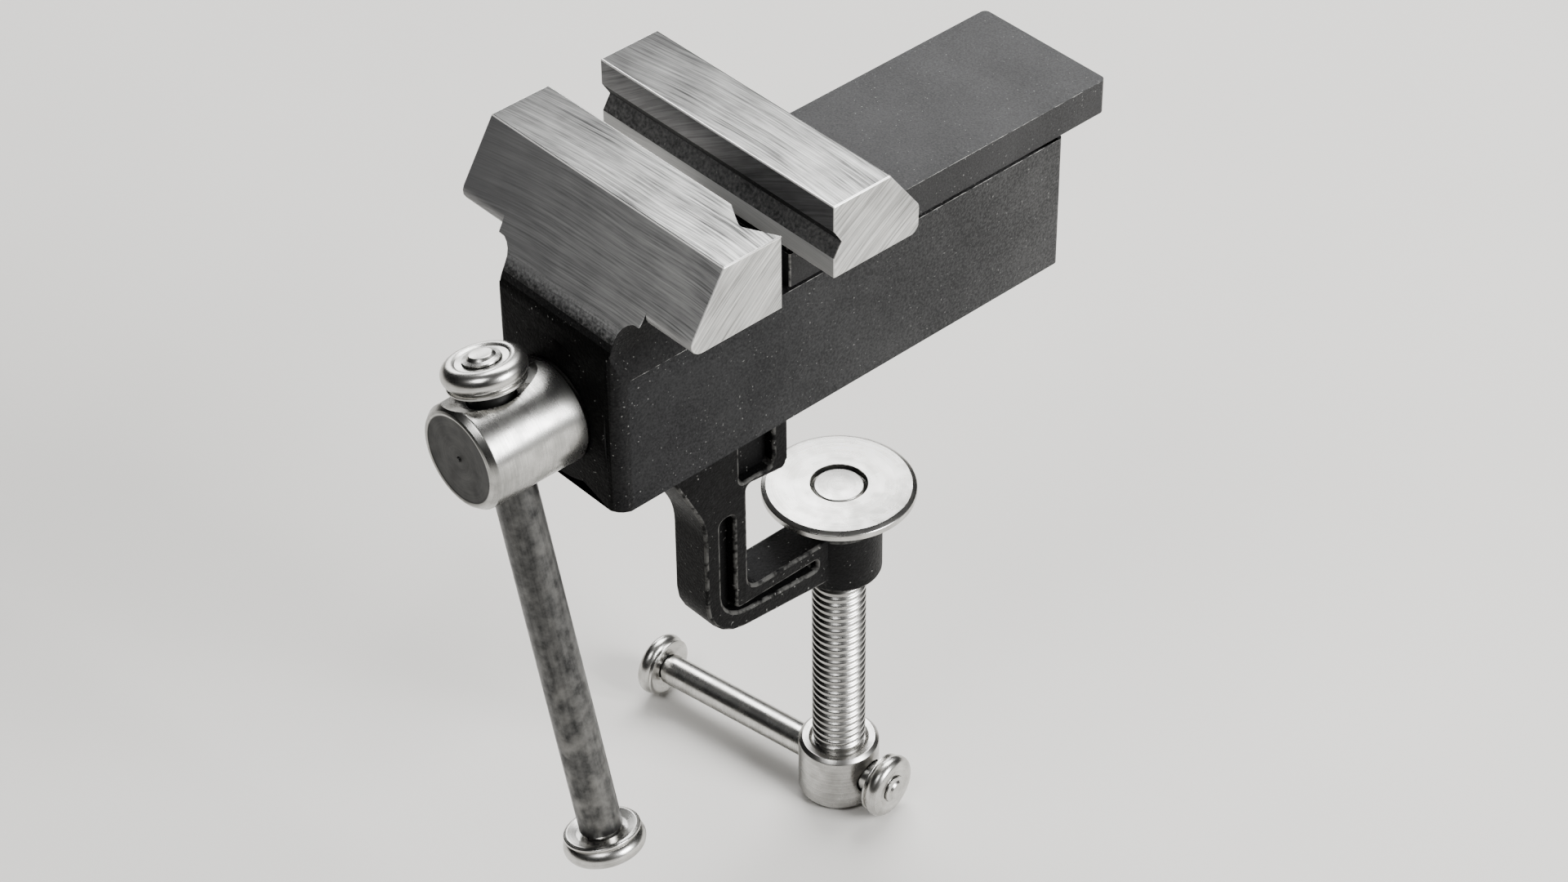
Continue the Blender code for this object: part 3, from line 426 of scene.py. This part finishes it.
def with_holes(mesh, cutters):
    """A mesh less its cutters' shapes."""
    solid = bpy.data.objects.new("solid", mesh)
    bpy.context.scene.collection.objects.link(solid)
    tools = []
    for cutter in cutters:
        tool = bpy.data.objects.new("tool", cutter)
        bpy.context.scene.collection.objects.link(tool)
        tools.append(tool)
        modifier = solid.modifiers.new("hole", "BOOLEAN")
        modifier.operation = "DIFFERENCE"
        modifier.solver = "EXACT"
        modifier.object = tool
    graph = bpy.context.evaluated_depsgraph_get()
    drilled = bpy.data.meshes.new_from_object(solid.evaluated_get(graph))
    for thing in [solid] + tools:
        bpy.data.objects.remove(thing, do_unlink=True)
    return drilled


def finish_piece(name, mesh, materials, body, nodes, sharp=32):
    """Makes a mesh one of the vise's pieces, riding on its body in place of its CAD nodes.

    Its edges past this many degrees are sharp. With None, it keeps the shading that it has.
    """
    slots = [0] * len(mesh.polygons)
    mesh.polygons.foreach_get("material_index", slots)
    mesh.materials.clear()
    for material in materials:
        mesh.materials.append(material)
    mesh.polygons.foreach_set("material_index", [min(s, len(materials) - 1) for s in slots])
    if sharp:
        mesh.shade_smooth()
        mesh.set_sharp_from_angle(angle=math.radians(sharp))
    thing = bpy.data.objects.new(name, mesh)
    bpy.context.scene.collection.objects.link(thing)
    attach(thing, body)
    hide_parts(*nodes)


# Screw threads


def thread_tree():
    """Geometry Nodes: a rod along +Z with a right-hand thread, closed at both ends.

    Its rows of points follow the helix, so the crest stays crisp with few of them. Flank Start and
    Flank End say where the thread's flank rises, in pitches from the middle of its root.
    """
    tree = bpy.data.node_groups.new("screw thread", "GeometryNodeTree")
    for name, kind, value in (
        ("Length", "NodeSocketFloat", 0.03), ("Pitch", "NodeSocketFloat", 0.00125),
        ("Crest Radius", "NodeSocketFloat", 0.004), ("Root Radius", "NodeSocketFloat", 0.0033),
        ("Flank Start", "NodeSocketFloat", 0.08), ("Flank End", "NodeSocketFloat", 0.4),
        ("Sides", "NodeSocketInt", 72), ("Rows per Turn", "NodeSocketInt", 12),
        ("Finish", "NodeSocketMaterial", None),
    ):
        socket = tree.interface.new_socket(name, in_out="INPUT", socket_type=kind)
        if value is not None:
            socket.default_value = value
    tree.interface.new_socket("Geometry", in_out="OUTPUT", socket_type="NodeSocketGeometry")
    given = add(tree, "NodeGroupInput").node.outputs
    math_node = "ShaderNodeMath"

    # A flat grid, one side's worth of points per column and one turn's worth of rows per pitch
    pitches = add(tree, math_node, {0: given["Length"], 1: given["Pitch"]}, operation="DIVIDE")
    whole = add(tree, math_node, {0: pitches}, operation="CEIL")
    turns = add(tree, math_node, {0: whole, 1: 2.0}, operation="ADD")
    rows = add(tree, math_node, {0: turns, 1: given["Rows per Turn"], 2: 1.0}, operation="MULTIPLY_ADD")
    columns = add(tree, math_node, {0: given["Sides"], 1: 1.0}, operation="ADD")
    grid = add(tree, "GeometryNodeMeshGrid", {
        "Size X": 1.0, "Size Y": 1.0, "Vertices X": columns, "Vertices Y": rows,
    })
    spot = add(tree, "ShaderNodeSeparateXYZ", {0: add(tree, "GeometryNodeInputPosition")}).node.outputs
    around = add(tree, math_node, {0: spot["X"], 1: 0.5}, operation="ADD")
    along = add(tree, math_node, {0: spot["Y"], 1: 0.5}, operation="ADD")

    # How far up each point is
    turn = add(tree, math_node, {0: along, 1: turns}, operation="MULTIPLY")
    wound = add(tree, math_node, {0: turn, 1: around}, operation="ADD")
    below = add(tree, math_node, {0: wound, 1: 1.0}, operation="SUBTRACT")
    climb = add(tree, math_node, {0: below, 1: given["Pitch"]}, operation="MULTIPLY")
    height = add(tree, "ShaderNodeClamp", {"Value": climb, "Min": 0.0, "Max": given["Length"]})

    # How far out it is: the thread fades in over the first pitch and out over the last
    off_root = add(tree, math_node, {0: turn, 1: 0.5}, operation="PINGPONG")
    ridge = add(tree, "ShaderNodeMapRange", {
        "Value": off_root, 1: given["Flank Start"], 2: given["Flank End"],
    }, interpolation_type="SMOOTHSTEP")
    left = add(tree, math_node, {0: given["Length"], 1: height}, operation="SUBTRACT")
    fade_in = add(tree, "ShaderNodeMapRange", {"Value": height, 1: 0.0, 2: given["Pitch"]})
    fade_out = add(tree, "ShaderNodeMapRange", {"Value": left, 1: 0.0, 2: given["Pitch"]})
    fade = add(tree, math_node, {0: fade_in, 1: fade_out}, operation="MULTIPLY")
    proud = add(tree, math_node, {0: ridge, 1: fade}, operation="MULTIPLY")
    depth = add(tree, math_node, {0: given["Crest Radius"], 1: given["Root Radius"]}, operation="SUBTRACT")
    skin = add(tree, math_node, {0: proud, 1: depth, 2: given["Root Radius"]}, operation="MULTIPLY_ADD")

    # The first and last rows shrink to a point, which closes the ends
    off_end = add(tree, math_node, {0: along, 1: 0.5}, operation="PINGPONG")
    inside = add(tree, math_node, {0: off_end, 1: 1e6}, operation="MULTIPLY", use_clamp=True)
    radius = add(tree, math_node, {0: skin, 1: inside}, operation="MULTIPLY")
    spoke = add(tree, "ShaderNodeCombineXYZ", {0: radius, 2: height})
    angle = add(tree, math_node, {0: around, 1: 2 * math.pi}, operation="MULTIPLY")
    place = add(tree, "ShaderNodeVectorRotate", {"Vector": spoke, "Angle": angle}, rotation_type="Z_AXIS")
    moved = add(tree, "GeometryNodeSetPosition", {"Geometry": grid, "Position": place})
    closed = add(tree, "GeometryNodeMergeByDistance", {"Geometry": moved, "Distance": 2e-6})
    real = add(tree, "GeometryNodeRealizeInstances", {"Geometry": closed})
    coated = add(tree, "GeometryNodeSetMaterial", {"Geometry": real, "Material": given["Finish"]})
    add(tree, "NodeGroupOutput", {0: coated})
    return tree


def grown(name, tree, values, place, axis):
    """The plain mesh that a Geometry Nodes tree makes from these inputs, put in place."""
    holder = bpy.data.objects.new(name, bpy.data.meshes.new(name))
    bpy.context.scene.collection.objects.link(holder)
    modifier = holder.modifiers.new(name, "NODES")
    modifier.node_group = tree
    for item in tree.interface.items_tree:
        if item.in_out == "INPUT" and item.name in values:
            modifier[item.identifier] = values[item.name]
    graph = bpy.context.evaluated_depsgraph_get()
    mesh = bpy.data.meshes.new_from_object(holder.evaluated_get(graph))
    bpy.data.objects.remove(holder, do_unlink=True)
    build = bmesh.new()
    build.from_mesh(mesh)
    bmesh.ops.dissolve_degenerate(build, edges=build.edges, dist=1e-7)
    bmesh.ops.recalc_face_normals(build, faces=build.faces)
    turn = axis.to_track_quat("Z", "Y").to_matrix().to_4x4()
    bmesh.ops.transform(build, matrix=Matrix.Translation(place) @ turn, verts=build.verts)
    build.to_mesh(mesh)
    build.free()
    return mesh


# The camera, the light and the floor


def make_camera():
    """A long lens at the vise's front right, looking down on it."""
    place = (0.30788, -0.28750, 0.32718)
    azimuth, elevation, roll = (math.radians(a) for a in (48.017, 39.695, 0.624))
    back = Vector((
        math.sin(azimuth) * math.cos(elevation), -math.cos(azimuth) * math.cos(elevation), math.sin(elevation)
    ))
    right = UP.cross(back).normalized()
    up = back.cross(right)
    tilt = Matrix.Rotation(-roll, 3, back)
    data = bpy.data.cameras.new("camera")
    data.sensor_width = 36
    data.lens = 89.055
    data.clip_start = 0.01
    camera = bpy.data.objects.new("camera", data)
    turn = Matrix((tilt @ right, tilt @ up, back)).transposed().to_4x4()
    camera.matrix_world = Matrix.Translation(place) @ turn
    bpy.context.scene.collection.objects.link(camera)
    bpy.context.scene.camera = camera


def make_light(name, place, size, power):
    """A soft area light that faces the vise."""
    data = bpy.data.lights.new(name, "AREA")
    data.shape = "RECTANGLE"
    data.size, data.size_y = size
    data.energy = power
    light = bpy.data.objects.new(name, data)
    vise_middle = Vector((0, -0.01, -0.01))
    aim = (vise_middle - Vector(place)).to_track_quat("-Z", "Y").to_matrix().to_4x4()
    light.matrix_world = Matrix.Translation(place) @ aim
    bpy.context.scene.collection.objects.link(light)


def make_studio():
    """Soft light from the right, from above and low from the back left, and a pale floor."""
    make_light("right_softbox", (0.75, 0.22, 0.42), (0.42, 0.42), 17)
    make_light("top_softbox", (-0.33, 0.42, 0.74), (0.70, 0.50), 15)
    make_light("front_softbox", (0.10, -0.55, 0.80), (0.40, 0.30), 4)
    make_light("low_card", (-0.87, 0.41, 0.22), (0.45, 0.30), 3)
    world = bpy.data.worlds.new("studio")
    world.use_nodes = True
    world.node_tree.nodes.clear()
    sky = add(world.node_tree, "ShaderNodeBackground", {"Color": "#bfc0c2", "Strength": 0.13})
    add(world.node_tree, "ShaderNodeOutputWorld", {"Surface": sky})
    material, tree = new_material("painted studio floor, matt")
    where = add(tree, "ShaderNodeTexCoord", out="Object")
    clouds = add(tree, "ShaderNodeTexNoise", {"Vector": where, "Scale": 1 / (60 * MM)})
    nap = add(tree, "ShaderNodeTexNoise", {"Vector": where, "Scale": 1 / (1.5 * MM)})
    shader = add(tree, "ShaderNodeBsdfPrincipled", {
        "Base Color": add(
            tree, "ShaderNodeMix", {0: clouds, 6: "#cfcdc9", 7: "#d6d4d0"}, out=2, data_type="RGBA"
        ),
        "Roughness": 0.9,
        "Normal": add(tree, "ShaderNodeBump", {"Height": nap, "Distance": 0.02 * MM}),
    })
    add(tree, "ShaderNodeOutputMaterial", {"Surface": shader})
    low = CAD_BOX[0].z - GAP
    far = 4.0
    corners = [(-far, -far, low), (far, -far, low), (far, far, low), (-far, far, low)]
    mesh = bpy.data.meshes.new("floor")
    mesh.from_pydata(corners, [], [(0, 1, 2, 3)])
    mesh.materials.append(material)
    floor = bpy.data.objects.new("floor", mesh)
    bpy.context.scene.collection.objects.link(floor)


# The castings

CAST, TOP, END, FLANK, GRIP, PAINTED_LIGHT_STRIP, PAINTED_LIGHT_SKIN, PLATE, PAINTED_SHADE_SKIN = range(9)
ALMOST_FLAT = 0.04 * MM  # a step smaller than this is smoothed away
BENCH_FACE = -0.5 * MM  # just under the body's flat underside
SHARP_EDGE = math.radians(38)
BRACKET_EDGE, BLOCK_EDGE = 0.45 * MM, 0.2 * MM  # how far edges are eased
WIDEST_EDGE = 0.4 * MM  # an oblique face narrower than this is part of an eased edge
JAW_END = 22.0 * MM  # just inside the jaws' ends, from the middle
BACK_OF_GRIP = JAW_FACE + 0.7 * MM
MOVING_FACE = -21.0 * MM  # just behind the moving jaw's foot strip
FLANK_FOOT = 26.0 * MM  # where the ground flank bends into the body's front
FLANK_FADE = 28.0 * MM  # where its grinding ends
PLATE_LEVEL = 29.0 * MM  # everything on the moving jaw below this is its plate and keel


def ease(build, edges, width):
    """Rounds these edges of a mesh."""
    bmesh.ops.bevel(
        build, geom=edges, offset=width, offset_type="OFFSET", segments=2, profile=0.5,
        affect="EDGES", clamp_overlap=False, material=-1,
    )


def outer_edges(build, least_length):
    """A mesh's sharp outer edges, without those too short to round."""
    return [
        e for e in build.edges
        if len(e.link_faces) == 2
        and e.calc_face_angle_signed(0) > SHARP_EDGE
        and e.calc_length() > least_length
    ]


def dressed_casting(node, finish_of, wear_at, flat_faces=()):
    """A CAD casting with its triangles merged into whole faces, and its outer edges eased.

    finish_of gives each face's material, and wear_at how worn an eased edge is at a place. The
    thin clamp bracket, below the bench face, has fuller edges than the rest. Points that almost lie
    on one of flat_faces, each a point and a normal, are brought onto it.
    """
    build = bmesh.new()
    build.from_mesh(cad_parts[node].data)
    bmesh.ops.remove_doubles(build, verts=build.verts, dist=2e-6)
    for point, normal in flat_faces:
        for vertex in build.verts:
            off = (vertex.co - point).dot(normal)
            if abs(off) < ALMOST_FLAT:
                vertex.co -= normal * off
    bmesh.ops.dissolve_limit(
        build, angle_limit=math.radians(0.6), verts=build.verts, edges=build.edges
    )
    for face in build.faces:
        face.material_index = finish_of(face)
    bracket = [e for e in outer_edges(build, 0.2 * MM) if max(v.co.z for v in e.verts) < BENCH_FACE]
    ease(build, bracket, BRACKET_EDGE)
    above = [e for e in outer_edges(build, 0.55 * MM) if min(v.co.z for v in e.verts) > BENCH_FACE]
    ease(build, above, BLOCK_EDGE)
    marks = build.faces.layers.float.new("worn")
    for face in build.faces:
        width = 2 * face.calc_area() / face.calc_perimeter()
        square = max(abs(part) for part in face.normal)
        if width < WIDEST_EDGE and square < 0.97:
            face[marks] = wear_at(face.calc_center_median())
    mesh = bpy.data.meshes.new(node)
    build.to_mesh(mesh)
    build.free()
    return mesh


def weighted(mesh):
    """A mesh whose flat faces keep flat shading beside their rounded edges."""
    mesh.shade_smooth()
    mesh.set_sharp_from_angle(angle=math.radians(35))
    thing = bpy.data.objects.new("weighted", mesh)
    bpy.context.scene.collection.objects.link(thing)
    modifier = thing.modifiers.new("normals", "WEIGHTED_NORMAL")
    modifier.keep_sharp = True
    graph = bpy.context.evaluated_depsgraph_get()
    done = bpy.data.meshes.new_from_object(thing.evaluated_get(graph))
    bpy.data.objects.remove(thing, do_unlink=True)
    return done


def body_finish(face):
    """Ground flank, top, ends and inner face on the fixed jaw, and black casting elsewhere, which is
    painted darker as shade on the bracket and the front."""
    middle, normal = face.calc_center_median(), face.normal
    on_jaw = middle.z > JAW_UNDERSIDE and middle.y < BACK_OF_GRIP
    if normal.z > 0.95 and middle.z > JAW_TOP - 0.2 * MM:
        return TOP
    if normal.y < -0.5 and (middle.z > JAW_UNDERSIDE or (normal.z > 0.45 and middle.z > FLANK_FOOT)):
        return FLANK
    if on_jaw and abs(normal.x) > 0.9 and abs(middle.x) > JAW_END:
        return END
    if on_jaw and normal.y > 0.2:
        return GRIP
    # painted shade on the bracket and the body's front
    return PAINTED_SHADE_SKIN if middle.z < 0 or (normal.y < -0.9 and middle.z < FLANK_FOOT) else CAST


def moving_finish(face):
    """Ground top, ends, grip band and foot strip on the moving jaw, with grey skin between the last
    two, the strip and skin painted lighter as light in the gap, a smoother black on the plate, and
    black casting elsewhere."""
    middle, normal = face.calc_center_median(), face.normal
    if normal.z > 0.95 and middle.z > JAW_TOP - 0.2 * MM:
        return TOP
    if abs(normal.x) > 0.9 and middle.z > JAW_UNDERSIDE and abs(middle.x) > JAW_END:
        return END
    if normal.y < -0.9 and middle.z > GRIP_FOOT:
        return GRIP
    # painted light: the foot strip and the grey skin above it are lighter, standing for light in the gap
    # between the jaws
    if normal.y < -0.9 and JAW_UNDERSIDE < middle.z < STRIP_TOP and middle.y < MOVING_FACE:
        return PAINTED_LIGHT_STRIP
    if normal.y < -0.5 and normal.z > 0 and middle.z > STRIP_TOP:
        return PAINTED_LIGHT_SKIN
    return PLATE if middle.z < PLATE_LEVEL else CAST


def body_wear(middle):
    """How worn the body's eased edges are: most on the jaw's top, then on the slideway's top."""
    on_slideway = middle.y > JAW_FACE and 19 * MM < middle.z < 22 * MM
    if middle.z > JAW_TOP - 1 * MM:
        return 1.0
    if abs(middle.x) > JAW_END - 0.5 * MM:
        return 0.35
    if on_slideway:
        return 0.8
    return 0.3 if middle.z < 0 else 0.0


def moving_wear(middle):
    """How worn the moving jaw's eased edges are: most on its top and on its long plate."""
    on_plate_top = 25.5 * MM < middle.z < 27.5 * MM
    return 1.0 if on_plate_top or middle.z > JAW_TOP - 1 * MM else 0.3


def make_castings():
    """The body and the moving jaw, with a finish for each kind of face.

    Each ground finish gets the direction of its scratches and the one across them.
    """
    lean = math.radians(2)
    rise = math.radians(38)
    top = (Vector((math.cos(lean), math.sin(lean), 0)), Vector((-math.sin(lean), math.cos(lean), 0)))
    flank = (
        RIGHT * math.cos(lean) - FLANK_SLOPE * math.sin(lean),
        -RIGHT * math.sin(lean) - FLANK_SLOPE * math.cos(lean),
    )
    end = (Vector((0, math.cos(rise), math.sin(rise))), Vector((0, -math.sin(rise), math.cos(rise))))
    grip = (Vector((math.cos(rise), 0, math.sin(rise))), Vector((-math.sin(rise), 0, math.cos(rise))))
    finishes = [
        blackened_iron(
            "cast iron, sand cast and blackened", "#060607", "#303030", 0.34 * MM, 0.10 * MM, 0.7
        ),
        # The jaw top and flank are painted darker towards their left ends, as shade.
        ground_iron(
            "cast iron, jaw top ground bright", top, "#191919", "#a4a4a2", 0.37, 0.85, painted_shade_left=True
        ),
        ground_iron("cast iron, jaw end filed bright", end, "#70706e", "#d4d4d2", 0.40, 0.85),
        ground_iron(
            "cast iron, jaw flank ground grey", flank, "#636364", "#bdbdbc", 0.46, 0.5,
            painted_shade_left=True, foot=FLANK_FADE,
        ),
        ground_iron("cast iron, grip face milled dark", grip, "#3a3a3b", "#6c6c6d", 0.44, 0.4),
        # The grip foot strip and the grey cast skin are painted lighter still, as light reaching into the gap
        # between the jaws.
        ground_iron("cast iron, grip foot milled smooth", (RIGHT, UP), "#9a9a99", "#b6b6b4", 0.42, 0.4),
        blackened_iron(
            "cast iron, grey cast skin painted lighter as light", "#2c2c2d", "#727271", 0.45 * MM, 0.05 * MM, 0.6
        ),
        blackened_iron(
            "cast iron, slide plate blackened smooth", "#111112", "#242425", 0.26 * MM, 0.02 * MM, 1.0
        ),
        # Painted shade: the clamp bracket and the body's front are painted near black, with little sheen.
        blackened_iron(
            "cast iron, black skin painted darker as shade", "#030303", "#101011", 0.40 * MM, 0.09 * MM, 0.4, shine=0.12
        ),
    ]
    front = (Vector((0, BODY_FRONT, 0)), TO_THE_HEAD)
    sloping = (Vector((0, JAW_FACE - JAW_THICKNESS, JAW_TOP)), FLANK_SLOPE.cross(RIGHT))
    body = weighted(dressed_casting("body", body_finish, body_wear, (front, sloping)))
    finish_piece("vise_body", body, finishes, "frame", ["body"], None)
    jaw = weighted(dressed_casting("moving_jaw", moving_finish, moving_wear))
    finish_piece("sliding_jaw", jaw, finishes, "moving_jaw", ["moving_jaw"], None)


# The turned pieces


def make_spindle(tree, steel):
    """The spindle's head, dished round its cross hole, and its trapezoidal screw."""
    head = turned("head", [
        (0, 15.5, 0), (0.3, 15.5, 0), (0.45, 15.3, 0.08), (6.15, 15.38, 0.25), (6.55, 15.55, 0.2),
        (6.9, 15.35, 0.25), (7.5, 14.55, 0.5), (7.5, 0.1, 0.25), (7.1, 0, 0.1), (3.4, 0, 0), (0, 0, 0),
    ], Vector((0, HEAD_BACK, SPINDLE_HEIGHT)), TO_THE_HEAD, 128)
    dish = [(0, 11, 0), (9.5, 9.1, 0), (6.6, 7.1, 1.6), (4.6, 6.4, 1.2), (3.3, 5.6, 0.3)]
    through = dish + [(3.3, -11, 0), (0, -11, 0)]
    shallow = dish[:4] + [(3.2, 5.6, 0.2), (0, 5.6, 0)]
    cross_hole = turned("cross_hole", through, BAR_MIDDLE, BAR_AXIS)
    far_flare = turned("far_flare", shallow, BAR_MIDDLE, -BAR_AXIS)
    head = with_holes(head, [cross_hole, far_flare])
    shank = turned("shank", [
        (0, 10.4, 0), (4.0, 10.4, 0), (4.0, 0.6, 0.1), (3.4, 0, 0), (0, 0, 0),
    ], Vector((0, SHANK_BACK, SPINDLE_HEIGHT)), TO_THE_HEAD, 72)
    values = {
        "Length": 66.0 * MM, "Pitch": 1.5 * MM, "Crest Radius": 4.0 * MM, "Root Radius": 3.25 * MM,
        "Flank Start": 0.17, "Flank End": 0.33, "Finish": steel,
    }
    thread = grown("thread", tree, values, Vector((0, SPINDLE_END, SPINDLE_HEIGHT)), TO_THE_HEAD)
    mesh = joined("spindle", [head, shank, thread])
    finish_piece("spindle_screw", mesh, [steel], "spindle", ["spindle"])


def knob_outline(radius, thickness, bore):
    """A turned knob: a flared inner face, a thin ring, the big round roll and a shallow dish round
    the bar's riveted end."""
    full, t = radius, thickness
    roll = t * 0.42
    middle = t * 0.56
    points = [(bore, t * 0.13, 0), (full * 0.62, t * 0.09, 0.8), (full * 0.84, 0.0, 0.3)]
    points += [(full * 0.93, t * 0.04, 0.15), (full * 0.93, t * 0.13, 0.1), (full * 0.86, t * 0.17, 0)]
    for step in range(17):
        angle = math.radians(-60 + 160 * step / 16)
        points.append((full - roll * (1 - math.cos(angle)), middle + roll * math.sin(angle), 0))
    points += [(full * 0.62, t * 0.92, 0.1), (bore, t * 0.90, 0)]
    return points


def make_handle(names, nodes, middle, axis, sizes, finishes, body):
    """A bar through a cross hole, with a riveted knob on each end.

    sizes are the bar's radius, the knobs' radius and thickness, and how far up and down they start,
    in millimetres. finishes are the bar's metal, the knobs' metal and the bar's slot name, which is not
    used. The bar's riveted ends have the knobs' metal.
    """
    radius, knob_radius, thickness, upper, lower = sizes
    rivet = radius * 0.87
    shank = radius * 0.8
    slack = 0.3
    top, foot = upper + thickness + slack, -lower - thickness - slack
    crown = [(0, 0.32, 0), (rivet * 0.60, 0.24, 0.3), (rivet * 0.74, -0.14, 0.15)]
    crown += [(rivet * 0.98, -0.30, 0), (rivet, -0.5, 0)]
    bar = [(u, top + v, r) for u, v, r in crown]
    bar += [(shank, top - 0.55, 0), (shank, upper - slack, 0), (radius, upper - slack, 0)]
    bar += [(radius, slack - lower, 0), (shank, slack - lower, 0), (shank, foot + 0.55, 0)]
    bar += [(u, foot - v, r) for u, v, r in reversed(crown)]
    mesh = turned(names[0], bar, middle, axis, 64)
    for face in mesh.polygons:
        height = (face.center - middle).dot(axis)
        face.material_index = int(not -lower * MM < height < upper * MM)
    finish_piece(names[0], mesh, finishes[:2], body, [nodes[0]])
    outline = knob_outline(knob_radius, thickness, rivet + 0.08)
    for name, node, side, start in ((names[1], nodes[1], 1, upper), (names[2], nodes[2], -1, lower)):
        outward = axis * side
        knob = turned(name, outline, middle + outward * start * MM, outward, ring=True)
        finish_piece(name, knob, [finishes[1]], body, [node])


def make_clamp_screw(tree, plated):
    """The clamp screw: a riveted spigot, an M8 thread and a head drilled for the clamp bar."""
    head = turned("clamp_head", [
        (0, -80.6, 0), (4.0, -80.6, 0), (4.5, -80.15, 0.2), (5.5, -80.05, 0.15), (6.1, -80.6, 0.25),
        (6.1, -89.5, 0.4), (5.4, -90.2, 0.2), (0, -90.2, 0),
    ], (0, 0, 0), UP)
    drill = [(0, 8, 0), (3.6, 8, 0), (2.7, 5.9, 0.2), (2.7, -5.9, 0.2), (3.6, -8, 0), (0, -8, 0)]
    head = with_holes(head, [turned("bar_hole", drill, CLAMP_BAR_MIDDLE, CLAMP_BAR_AXIS, 64)])
    spigot = turned("spigot", [
        (0, -30.6, 0), (3.6, -30.6, 0.2), (3.6, -31.1, 0), (2.5, -32.3, 0), (2.5, -34.6, 0),
        (3.3, -34.6, 0.1), (3.3, -37.0, 0), (0, -37.0, 0),
    ], (0, 0, 0), UP)
    values = {
        "Length": 45.6 * MM, "Pitch": 1.25 * MM, "Crest Radius": 4.0 * MM, "Root Radius": 3.58 * MM,
        "Flank Start": 0.04, "Flank End": 0.42, "Finish": plated,
    }
    thread = grown("clamp_thread", tree, values, (0, 0, CLAMP_HEAD_TOP), UP)
    mesh = joined("clamp_screw", [head, spigot, thread])
    finish_piece("clamp_spindle", mesh, [plated], "clamp_screw", ["clamp_screw"])


def make_pad(plated):
    """The pressure pad: a thin disc with a countersunk hole, on a hub that swivels on the spigot."""
    mesh = turned("pad", [
        (4.2, -30.3, 0), (10.5, -30.3, 0.3), (11.2, -30.7, 0.25), (11.2, -31.6, 0.25), (10.7, -31.9, 0.2),
        (6.9, -31.9, 0.3), (6.5, -32.3, 0.1), (6.5, -34.1, 0.4), (2.8, -34.1, 0), (2.8, -32.6, 0),
        (4.2, -31.4, 0),
    ], (0, 0, 0), UP, 128, ring=True)
    finish_piece("clamp_pressure_pad", mesh, [plated], "clamp_pad", ["pressure_pad"])


def make_small_parts():
    """The washers, collar, pins and nut are right as they are, and only get their metal."""
    washer = plain_metal("steel, stamped and tumbled", "#6a6a67", "#9c9b98", 0.36)
    pin = plain_metal("steel pin, ground", "#8a8a88", "#bcbbb8", 0.28)
    bronze = plain_metal("bronze, turned", "#8f6b34", "#c19a55", 0.34)
    finish = {
        "front_thrust_washer": washer, "rear_thrust_washer": washer, "retaining_collar": washer,
        "collar_pin": pin, "nut_pin": pin, "spindle_nut": bronze,
    }
    for node, material in finish.items():
        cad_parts[node].material_slots[0].material = material


make_camera()
make_studio()
make_castings()
THREAD = thread_tree()
SPINDLE_STEEL = turned_steel("steel, spindle turned and smoothed", "#8e8e8b", "#b4b3b0", 0.27)
BAR_STEEL = drawn_steel("steel bar, drawn and dulled")
NICKEL = plated_steel("steel, nickel plated and polished", "#a3a29e", "#cdccc9", 0.27)
WORN_NICKEL = plated_steel("steel, nickel plated and dulled by use", "#8f8e8b", "#bebdba", 0.28)
make_spindle(THREAD, SPINDLE_STEEL)
make_handle(
    ("handle_bar", "handle_top_knob", "handle_bottom_knob"), ("tommy_bar", "upper_knob", "lower_knob"),
    BAR_MIDDLE, BAR_AXIS, (3.0, 5.75, 3.7, 7.8, 60.9), (BAR_STEEL, NICKEL, "bar_steel"), "tommy_bar",
)
make_clamp_screw(THREAD, WORN_NICKEL)
make_handle(
    ("clamp_handle_bar", "clamp_handle_near_knob", "clamp_handle_far_knob"),
    ("clamp_bar", "clamp_near_knob", "clamp_far_knob"),
    CLAMP_BAR_MIDDLE, CLAMP_BAR_AXIS, (2.4, 4.95, 3.0, 7.6, 33.1), (NICKEL, NICKEL, "plated_steel"),
    "clamp_bar",
)
make_pad(NICKEL)
make_small_parts()
